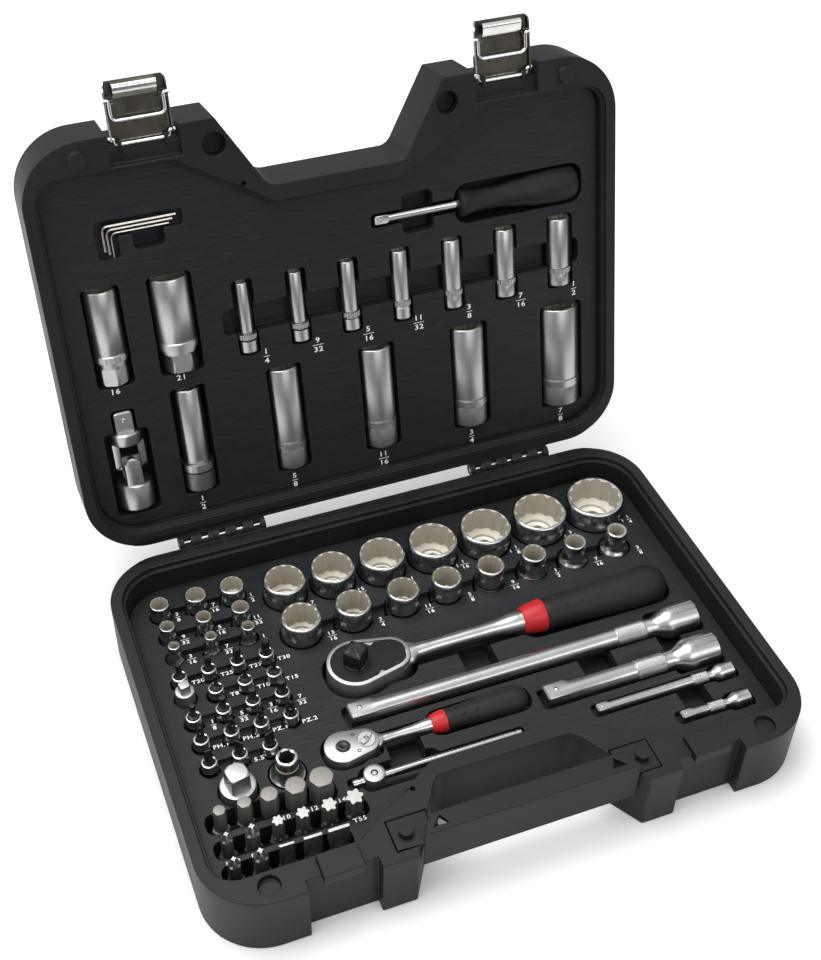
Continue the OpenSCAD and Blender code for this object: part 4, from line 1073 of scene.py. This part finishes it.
def tube(name, route, radius, look, node, matrix=Matrix(), sides=20):
    """A round wire along a list of points, in metres."""
    verts = []
    before = None
    for i, p in enumerate(route):
        ahead = (route[min(i + 1, len(route) - 1)] - route[max(i - 1, 0)]).normalized()
        if before is None:
            side = ahead.orthogonal().normalized()
        else:
            side = (before - before.dot(ahead) * ahead).normalized()
        before = side
        other = ahead.cross(side)
        for k in range(sides):
            a = TURN * k / sides
            verts.append(p + radius * (math.cos(a) * side + math.sin(a) * other))
    mesh = skin(name, verts, sides, [0] * len(route))
    return add_piece(name, mesh, [look], node, matrix, crease=40)


def rounded_route(corners, radii, steps=8):
    """A polyline, in metres, whose inner corners are turned into arcs of the given radii, in millimetres."""
    corners = [Vector(c) for c in corners]
    route = [corners[0]]
    for a, b, c, radius in zip(corners, corners[1:], corners[2:], radii):
        back, on = (a - b).normalized(), (c - b).normalized()
        half = back.angle(on) / 2
        reach = radius * MM
        run = reach / math.tan(half)
        middle = b + (back + on).normalized() * (reach / math.sin(half))
        start, end = b + back * run - middle, b + on * run - middle
        for i in range(steps + 1):
            route.append(middle + start.lerp(end, i / steps).normalized() * reach)
    route.append(corners[-1])
    return route


def wire_loop(name, node, x, lo, hi, inner, radii):
    """A wire loop centred on x with its ends turned out as pivots, in the box of its CAD solid."""
    r = WIRE_RADIUS * MM
    front, back, z = lo.y + r, hi.y - r, (lo.z + hi.z) / 2
    ends = (hi.x - lo.x) / 2
    shape = ((-ends, front), (-inner, front), (-inner, back), (inner, back), (inner, front), (ends, front))
    tube(name, rounded_route([(x + px, y, z) for px, y in shape], radii), r, WIRE, node, OPEN)
    return front, z


def hex_keys():
    for i, co in enumerate(solids("hex_keys", CLOSED)):
        lo, hi = box_of(co)
        r = (hi.z - lo.z) / 2
        z = (lo.z + hi.z) / 2
        corners = [(hi.x, lo.y + r, z), (lo.x + r, lo.y + r, z), (lo.x + r, hi.y, z)]
        tube(f"hex_key_{i + 1}", rounded_route(corners, [3.5]), r, KEY, "hex_keys", OPEN, sides=6)


spinner()
hex_keys()

# ---- universal joint ----


def universal_joint():
    lo, hi = box_of(points("joint_socket_yoke", CLOSED))
    x, z = (lo.x + hi.x) / 2, (lo.z + hi.z) / 2
    cross_lo, cross_hi = box_of(points("joint_cross", CLOSED))
    y = (cross_lo.y + cross_hi.y) / 2
    r = (hi.x - lo.x) / 2 / MM
    end = (hi.y - y) / MM
    rings = [(14.6, r - 1.6), (15.2, r - 0.5), (16.2, r), (end - 1, r), (end, r - 1),
             (end, square(HALF_HOLE, 1.36)), (end - 13, square(HALF_HOLE, 1.36), 1), (end - 13.6, 1.0, 1)]
    at = Vector((x, y, z))
    forward = lying(at, (0, 1, 0), (0, 0, -1), OPEN)
    turned("joint_cup_barrel", rings, [SATIN, FLUTE], "joint_socket_yoke", forward)
    far = (y - box_of(points("joint_drive_yoke", CLOSED))[0].y) / MM
    r2 = r - 1.2
    rings = [(14.6, r2 - 1.6), (15.2, r2 - 0.5), (16.2, r2), (23, r2), (24, r2 - 1.0),
             (24, square(HALF, 1.34)), (far - 1.2, square(HALF, 1.34)), (far, square(10.8, 1.3))]
    backward = lying(at, (0, -1, 0), (0, 0, -1), OPEN)
    turned("joint_base_barrel", rings, [SATIN], "joint_drive_yoke", backward)
    ball("joint_base_ball", "joint_drive_yoke", backward @ Vector((0, 6.25 * MM, (far - 6) * MM)), 1.7,
         (OPEN.to_3x3() @ Vector((0, 0, -1))))
    yoke_arms("joint_cup_arm", "joint_socket_yoke", forward, r - 1.6, "Y")
    yoke_arms("joint_base_arm", "joint_drive_yoke", backward, r2 - 0.2, "X")


def yoke_arms(name, node, place, r, axis):
    """Two arms that reach past the cross: thick tabs with round ends, each with a pin end on its outer face."""
    for side in (-1, 1):
        tab = arc(0, 0, 5.8, 0, 180, 20) + [(-5.8, -16.2), (5.8, -16.2)]
        tab = [(px, -py) for px, py in reversed(tab)]
        rings = [(6.2, 0.4), (6.6, 0), (r - 1.3, 0), (r - 0.4, 0.5), (r, 1.4)]
        mesh = outline_mesh(name, tab, rings)
        turn = lying((0, 0, 0), (0, side, 0) if axis == "Y" else (side, 0, 0), (0, 0, 1))
        letter = "a" if side < 0 else "b"
        add_piece(f"{name}_{letter}", mesh, [SATIN], node, place @ turn)
        pin = [(r - 0.6, 3.0), (r - 0.3, 3.0), (r + 0.05, 2.6), (r - 0.1, 1.6), (r - 0.25, 0.6)]
        mesh = loft("pin_end", pin, segments=32)
        add_piece(f"{name}_{letter}_pin", mesh, [CHROME], "joint_pins", place @ turn)


universal_joint()

# ---- latches ----


def face_outwards(mesh):
    bm = bmesh.new()
    bm.from_mesh(mesh)
    bmesh.ops.recalc_face_normals(bm, faces=bm.faces)
    bm.to_mesh(mesh)
    bm.free()


def sheet_channel(name, stations, thick, corner, node, matrix, look):
    """Pressed sheet with two turned sides, its outside at z = 0: stations are (y, half width, side height)."""
    outer, inner = [], []
    for y, half, tall in stations:
        bend = min(corner, tall)
        for shift, rows in ((0, outer), (thick, inner)):
            r = max(bend - shift, 0.2)
            x = half - shift
            line = [(-x, -max(tall, bend))] + [(px, pz) for px, pz in arc(-x + r, -shift - r, r, 180, 90, 6)]
            line += arc(x - r, -shift - r, r, 90, 0, 6) + [(x, -max(tall, bend))]
            rows.append([(px, y, pz) for px, pz in line])
    across = len(outer[0])
    count = len(stations)
    verts = [tuple(c * MM for c in p) for rows in (outer, inner) for row in rows for p in row]
    step = across * count
    faces, slots = [], []
    for j in range(count - 1):
        for i in range(across - 1):
            a, b = j * across + i, (j + 1) * across + i
            faces.append((a, b, b + 1, a + 1))
            faces.append((step + a, step + a + 1, step + b + 1, step + b))
            slots += [0, 1]
        for i in (0, across - 1):
            a, b = j * across + i, (j + 1) * across + i
            faces.append((a, step + a, step + b, b) if i == 0 else (a, b, step + b, step + a))
    for j, flip in ((0, False), (count - 1, True)):
        for i in range(across - 1):
            a = j * across + i
            quad = (a, a + 1, step + a + 1, step + a)
            faces.append(tuple(reversed(quad)) if flip else quad)
    mesh = bpy.data.meshes.new(name)
    mesh.from_pydata(verts, [], faces)
    mesh.polygons.foreach_set("material_index", slots + [0] * (len(faces) - len(slots)))
    face_outwards(mesh)
    # Slot 1, the inner faces, takes look, which on the latch levers is a dark brown painted shade.
    return add_piece(name, mesh, [BRIGHT, look], node, matrix, crease=35)


def strip(name, profile, x0, x1, thick, node, matrix, look):
    """A bent strip: a profile of (y, z) points given a thickness, running along X."""
    flat = np.array(profile, dtype=float)
    along = np.gradient(flat, axis=0)
    along /= np.linalg.norm(along, axis=1)[:, None]
    normal = np.stack((-along[:, 1], along[:, 0]), 1)
    loop = list(flat) + list((flat + normal * thick)[::-1])
    count = len(loop)
    verts = [(x * MM, y * MM, z * MM) for x in (x0, x1) for y, z in loop]
    faces = [(i, (i + 1) % count, count + (i + 1) % count, count + i) for i in range(count)]
    half = count // 2
    for i in range(half - 1):
        j = count - 1 - i
        faces.append((i, j, j - 1, i + 1))
        faces.append((count + i, count + i + 1, count + j - 1, count + j))
    mesh = bpy.data.meshes.new(name)
    mesh.from_pydata(verts, [], faces)
    face_outwards(mesh)
    return add_piece(name, mesh, [look], node, matrix, crease=35)


def latch(side):
    lever, bail = f"latch_lever_{side}", f"latch_bail_{side}"
    lo, hi = box_of(points(lever, CLOSED))
    x, half, plate = (lo.x + hi.x) / 2, (hi.x - lo.x) / 2 / MM, hi.z
    place = OPEN @ Matrix.Translation(Vector((x, hi.y, plate)))
    length = (hi.y - lo.y) / MM
    tall = (hi.z - lo.z) / MM - 0.8
    stations = [(-length, half - 1.6, 1.2), (-length + 0.5, half - 0.9, 2.2), (-length + 1.5, half - 0.3, 3.4),
                (-length + 3.5, half, 4.6)]
    stations += [(-length + 3.5 + (length - 7) * i / 10, half, 4.6 + (tall - 4.6) * (i / 10) ** 2)
                 for i in range(1, 11)]
    stations += [(-2, half, tall), (-0.7, half, tall - 0.9), (0, half, tall - 2.4)]
    # The lever's inside is painted dark brown as shade.
    sheet_channel(f"{side}_lever_sheet", stations, 1.0, 2.4, lever, place, LATCH_PAINTED_SHADE)
    tip = -length
    hem = [(tip + 3.6 + py, -3.9 + pz) for py, pz in arc(0, 0, 2.4, 110, 262, 12)]
    hem += [(tip + 4.5, -6.2), (tip + 7.5, -5.4), (tip + 9.6, -4.0)]
    strip(f"{side}_lever_hem", hem, -half + 6.2, half - 6.2, 0.9, lever, place, BRIGHT)
    y0, z = wire_loop(f"{side}_bail_wire", bail, x, *box_of(points(bail, CLOSED)), half * MM - 3 * MM,
                      (1.3, 3.6, 3.6, 1.3))
    # The clips and the emboss below are painted dark brown as shade, like the lever's inside.
    clip = [(py + (y0 - hi.y) / MM, pz - (plate - z) / MM) for py, pz in arc(0, 0, 2.6, -20, 200, 12)]
    for letter, start, end in (("a", 1 - half, 5.4 - half), ("b", half - 5.4, half - 1)):
        strip(f"{side}_lever_clip_{letter}", clip, min(start, end), max(start, end), 1.0, lever, place, LATCH_PAINTED_SHADE)
    tab = [(-7.5, -9.5), (-7.5, -15.5), (7.5, -15.5), (7.5, -9.5)]
    route = rounded_route([(px * MM, py * MM, -1.05 * MM) for px, py in tab], (0.9, 0.9), 3)
    tube(f"{side}_lever_emboss", route, 0.35 * MM, LATCH_PAINTED_SHADE, lever, place, sides=8)


def latch_wires():
    for i, co in enumerate(solids("latch_wires", CLOSED)):
        lo, hi = box_of(co)
        wire_loop(f"latch_wire_{i + 1}", "latch_wires", (lo.x + hi.x) / 2, lo, hi, 17 * MM,
                  (1.3, 2.2, 2.2, 1.3))


latch("left")
latch("right")
latch_wires()

# ---- shells and trays: the CAD's own shapes with their edges rounded ----


def turn_at(before, at, after, normal):
    """How far an outline turns at a point, positive where it is convex."""
    a, b = (at - before).normalized(), (after - at).normalized()
    return math.atan2(a.cross(b).dot(normal), a.dot(b))


def crowded(face, chosen, width):
    """A face's edges that have no room for a rounding of the given width."""
    loops = list(face.loops)
    count = len(loops)
    co = [loop.vert.co for loop in loops]
    tight = set()
    for i, loop in enumerate(loops):
        if loop.edge not in chosen:
            continue
        need = 0
        for k, other in ((i, loops[i - 1]), ((i + 1) % count, loops[(i + 1) % count])):
            if other.edge in chosen:
                half = turn_at(co[k - 1], co[k], co[(k + 1) % count], face.normal) / 2
                need += width * math.tan(max(-1.4, min(1.4, half)))
        if (co[(i + 1) % count] - co[i]).length - need < 0.08 * width:
            tight.update((loop.edge, loops[i - 1].edge, loops[(i + 1) % count].edge))
    index = [i for i in range(count) if loops[i].edge in chosen]
    if len(index) < 3:
        return tight
    start = np.array([co[i] for i in index])
    step = np.array([co[(i + 1) % count] for i in index]) - start
    path = np.concatenate([[0], np.cumsum([(co[(i + 1) % count] - co[i]).length for i in range(count)])])
    first, last = path[index], path[np.array(index) + 1]
    size = np.maximum((step * step).sum(1), 1e-18)
    for k in range(len(index)):
        for at, along in ((start[k], first[k]), (start[k] + step[k], last[k])):
            t = np.clip(((at - start) * step).sum(1) / size, 0, 1)
            gap = np.linalg.norm(at - start - step * t[:, None], axis=1)
            way = np.abs(along - first - (last - first) * t)
            way = np.minimum(way, path[-1] - way)
            hit = (gap < 2.1 * width) & (way > 2.2 * gap + 0.4 * width)
            hit[k] = False
            for m in np.nonzero(hit)[0]:
                tight.update((loops[index[k]].edge, loops[index[m]].edge))
    return tight


def rounded_copy(name, node, width, looks, segments=2, corner=30):
    """The CAD's own shape with its edges rounded wherever the faces beside them leave room."""
    bm = bmesh.new()
    bm.from_mesh(frame["nodes"][node].data)
    bmesh.ops.remove_doubles(bm, verts=bm.verts, dist=0.02 * MM)
    bmesh.ops.dissolve_limit(bm, angle_limit=math.radians(0.6), verts=bm.verts, edges=bm.edges)
    bm.normal_update()
    chosen = set()
    for edge in bm.edges:
        middle = (edge.verts[0].co + edge.verts[1].co) / 2 - HINGE
        if edge.is_manifold and edge.calc_face_angle(0) > math.radians(corner) and middle.yz.length > 8 * MM:
            chosen.add(edge)
    tight = set()
    for face in bm.faces:
        tight |= crowded(face, chosen, width * MM)
    bmesh.ops.bevel(bm, geom=[e for e in bm.edges if e in chosen and e not in tight], offset=width * MM,
                    offset_type="OFFSET", segments=segments, profile=0.5, affect="EDGES", clamp_overlap=False)
    mesh = bpy.data.meshes.new(name)
    bm.to_mesh(mesh)
    bm.free()
    mesh.polygons.foreach_set("use_smooth", [True] * len(mesh.polygons))
    mesh.set_sharp_from_angle(angle=math.radians(48))
    scratch = new_object(name + "_scratch", mesh)
    flat = scratch.modifiers.new("flat", "WEIGHTED_NORMAL")
    flat.keep_sharp = True
    flat.weight = 90
    shaped = shown_mesh(scratch)
    shaped.name = name
    return add_piece(name, shaped, looks, node, crease=None)


rounded_copy("tray_moulding", "base_tray", 0.55, [PANEL])
rounded_copy("lid_tray_moulding", "lid_tray", 0.55, [PANEL])
rounded_copy("case_shell", "base_shell", 0.7, [CASE])
rounded_copy("case_lid", "lid_shell", 0.7, [CASE])
rounded_copy("handle_grip", "carry_handle", 0.8, [CASE])


# ---- the hexagon pattern on the handle ----


def handle_pattern():
    lo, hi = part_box("carry_handle")
    across, pitch = 4.1, 4.7
    verts, faces = [], []
    for row in range(3):
        for k in range(20 - row % 2):
            x = (k - 9.5 + row % 2 * 0.5) * pitch
            y = (row - 1) * pitch * 0.866
            for z, size in ((-0.15, across), (0.02, across), (0.14, across - 0.4)):
                for i in range(6):
                    a = TURN * (i + 0.5) / 6
                    r = size / 2 / math.cos(TURN / 12)
                    verts.append(((x + r * math.cos(a)) * MM, (y + r * math.sin(a)) * MM, z * MM))
            first = len(verts) - 18
            for ring in (0, 6):
                for i in range(6):
                    m = (i + 1) % 6
                    a = first + ring
                    faces.append((a + i, a + m, a + 6 + m, a + 6 + i))
            faces.append(tuple(range(first + 12, first + 18)))
            faces.append(tuple(reversed(range(first, first + 6))))
    mesh = bpy.data.meshes.new("handle_pattern")
    mesh.from_pydata(verts, [], faces)
    web = Vector(((lo.x + hi.x) / 2, lo.y + 7.6 * MM, hi.z - 0.3 * MM))
    add_piece("handle_pattern", mesh, [CASE], "carry_handle", Matrix.Translation(web))


handle_pattern()

# ---- size numbers printed beside the tools ----


def print_mesh(text, height):
    """A line of figures, or a fraction set over a bar, centred on the origin and facing along Z."""
    bm = bmesh.new()
    top, _, under = text.partition("/")
    whole, _, top = top.rpartition(" ")
    lines = [(top, 0, 0)] if not under else [(top, 0, height * 0.92), (under, 0, -height * 0.92)]
    if whole:
        lines.append((whole, -height * 1.5, 0))
    for line, x, y in lines:
        curve = bpy.data.curves.new("print", "FONT")
        curve.body = line
        curve.size = height / 0.7
        curve.align_x = "CENTER"
        curve.align_y = "CENTER"
        curve.offset = height * 0.02
        curve.space_character = 1.12
        curve.extrude = 0.02
        curve.resolution_u = 2
        mesh = shown_mesh(new_object("print", curve))
        mesh.transform(Matrix.Translation((x, y, 0)))
        bm.from_mesh(mesh)
        bpy.data.curves.remove(curve)
        bpy.data.meshes.remove(mesh)
    if under:
        wide = height * 0.4 * max(len(top), len(under)) + 0.3
        bar = bmesh.ops.create_cube(bm, size=1)["verts"]
        bmesh.ops.scale(bm, vec=(wide * 2, height * 0.1, 0.04), verts=bar)
    bmesh.ops.scale(bm, vec=(MM * 1.2, MM, MM), verts=bm.verts)
    mesh = bpy.data.meshes.new("print")
    bm.to_mesh(mesh)
    bm.free()
    return mesh


BASE_MARK, LID_MARK = 2.9, 3.7  # heights of the figures


def label(text, node, x, y, z, height, matrix=Matrix(), flip=False):
    """Text centred at (x, y) on the face at z, all in millimetres; flip lays it out for the open lid."""
    label.count += 1
    turn = Matrix.Rotation(math.pi, 4, "X") if flip else Matrix()
    place = matrix @ Matrix.Translation(Vector((x, y, z)) * MM) @ turn
    add_piece(f"size_mark_{label.count}", print_mesh(text, height), [WHITE], node, place)


label.count = 0


def base_labels():
    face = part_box("base_tray")[1].z / MM + 0.03

    def beside(node, names, dx, dy, height=BASE_MARK, rows=None):
        found = [box_of(co) for co in (rows or solids(node))]
        for (lo, hi), text in zip(found, names):
            if text:
                x, y = (lo.x + hi.x) / 2 / MM, (lo.y + hi.y) / 2 / MM
                reach = (hi.x - lo.x) / 2 / MM
                label(text, "base_tray", x + (reach + dx), y + dy, face, height)

    beside("half_sockets_back", ["7/8", "15/16", "1", "1 1/16", "1 1/8", "1 3/16", "1 1/4"], 0.8, -15.6)
    beside("half_sockets_front", ["13/16", "3/4", "11/16", "5/8", "9/16", "1/2", "7/16", "3/8"], 4.6, -9.7)
    marks = (["3/8", "7/16", "1/2"], ["9/32", "5/16", "11/32"], ["3/16", "7/32", "1/4"])
    for row, names in zip(rows_of(solids("quarter_sockets")), marks):
        beside("", names, 3.8, -4.5, rows=row)
    marks = (
        (["T20", "T25", "T27", "T30"], -2.4), (["T8", "T10", "T15"], -3),
        (["1/8", "5/32", "3/16", "7/32"], -4.7), (["PH.1", "PH.2", "PZ.1", "PZ.2"], -3.7), (["4", "5.5", ""], -3),
    )
    for row, (names, dy) in zip(rows_of(solids("bit_socket_bits")), marks):
        beside("", names, 7.6, dy, rows=row)
    beside("hex_bits", ["7", "8"], -5.3, -10.4)
    beside("hex_bits", ["", "", "10", "12", "14"], 1.2, -10.4)
    beside("star_bits", ["PH.3", "PH.4", "T40", "T45", "T50"], -5.2, -9.8, 2.4)
    beside("star_bits", ["", "", "", "", "", "T55"], -5.2, -8.2)


def lid_labels():
    face = box_of(points("lid_tray", CLOSED))[0].z / MM - 0.03
    for node, shift, below, names in (
        ("plug_sockets", -1.9, 5.0, ["16", "21"]),
        ("half_deep_sockets", -1.6, 10.6, ["1/2", "5/8", "11/16", "3/4", "7/8"]),
        ("quarter_deep_sockets", 10.4, 5.2, ["1/4", "9/32", "5/16", "11/32", "3/8", "7/16", "1/2"]),
    ):
        for co, text in zip(solids(node, CLOSED), names):
            lo, hi = box_of(co)
            x, y = (lo.x + hi.x) / 2 / MM + shift, hi.y / MM + below
            label(text, "lid_tray", x, y, face, LID_MARK, OPEN, True)


base_labels()
lid_labels()

# ---- studio ----


def between(tree, value, start, end):
    """A smooth step from 0 to 1 while a value goes from start to end."""
    values = {"From Min": start, "From Max": end, "To Min": 0, "To Max": 1}
    step = wired(tree, "MapRange", {"Value": value}, values, interpolation_type="SMOOTHSTEP")
    return step.outputs["Result"]


def add_floor():
    """Pale paper that is painted darker in front of the case, out of view: painted shade for polished steel to
    reflect.
    """
    mesh = bpy.data.meshes.new("floor")
    size = 4.0
    corners = [(-size, -size, 0), (size, -size, 0), (size, size, 0), (-size, size, 0)]
    mesh.from_pydata(corners, [], [(0, 1, 2, 3)])
    floor = new_object("floor", mesh)
    floor.location.z = -0.2 * MM
    material, tree, shader = node_tree("floor_paper_and_painted_shade")
    paper = ramp(tree, noise(tree, texture_space(tree), 3), 0.8, 0.84)
    # Painted shade: in front of the case and near the middle, the paper is darkened to about an eighth.
    split = wired(tree, "SeparateXYZ", {"Vector": texture_space(tree)})
    ahead = between(tree, split.outputs["Y"], -0.5, -0.34)
    offset = wired(tree, "Math", {0: split.outputs["X"]}, operation="ABSOLUTE")
    aside = between(tree, offset.outputs[0], 0.3, 0.45)
    clear = wired(tree, "Math", {0: ahead, 1: aside}, operation="MAXIMUM")
    painted_shade_patch = ramp(tree, clear.outputs[0], 0.12, 1.0, 0, 1)
    shade = wired(tree, "VectorMath", {0: paper, 1: painted_shade_patch}, operation="MULTIPLY")
    tree.links.new(shade.outputs[0], shader.inputs["Base Color"])
    shader.inputs["Roughness"].default_value = 0.9
    mesh.materials.append(material)


def add_light(name, at, target, size, power):
    data = bpy.data.lights.new(name, "AREA")
    data.shape = "RECTANGLE"
    data.size, data.size_y = size
    data.energy = power
    light = new_object(name, data)
    light.location = at
    light.rotation_mode = "QUATERNION"
    light.rotation_quaternion = (Vector(target) - Vector(at)).to_track_quat("-Z", "Y")


def add_world(strength):
    """A bright ceiling that fades to a dimmer horizon, so that polished sides have something to show."""
    world = bpy.data.worlds.new("studio")
    bpy.context.scene.world = world
    world.use_nodes = True
    tree = world.node_tree
    split = wired(tree, "SeparateXYZ", {"Vector": wired(tree, "TexCoord").outputs["Generated"]})
    shade = ramp(tree, split.outputs["Z"], (0.2, 0.205, 0.215), (0.95, 0.975, 1), 0.05, 0.75)
    background = tree.nodes["Background"]
    tree.links.new(shade, background.inputs["Color"])
    background.inputs["Strength"].default_value = strength


def add_camera(place, azimuth, elevation, roll, lens):
    """The photograph's view: a short telephoto above and to the left of the front, rolled a little."""
    azimuth, elevation, roll = math.radians(azimuth), math.radians(elevation), math.radians(roll)
    look = Vector((math.sin(azimuth) * math.cos(elevation), math.cos(azimuth) * math.cos(elevation),
                   -math.sin(elevation)))
    level = Vector((math.cos(azimuth), -math.sin(azimuth), 0))
    top = level.cross(look)
    right = math.cos(roll) * level + math.sin(roll) * top
    up = math.cos(roll) * top - math.sin(roll) * level
    data = bpy.data.cameras.new("camera")
    data.lens = lens
    data.sensor_width = 36
    data.clip_end = 20
    camera = new_object("camera", data)
    turn = Matrix((right, up, -look)).transposed().to_4x4()
    camera.matrix_world = Matrix.Translation(Vector(place)) @ turn
    bpy.context.scene.camera = camera


add_floor()
add_world(strength=0.9)
AIM = (0, 0.05, 0.1)
add_light("key", (-0.5, 0.4, 2.0), AIM, (1.9, 1.5), 46)
add_light("front", (0.4, -1.7, 1.3), AIM, (1.8, 0.8), 12)
add_light("left", (-1.7, -0.3, 0.9), AIM, (1.2, 0.8), 3)
add_camera((-0.25919, -0.56828, 0.77549), azimuth=22.13, elevation=43.10, roll=1.335, lens=54.76)
bpy.context.scene.view_settings.view_transform = "Standard"
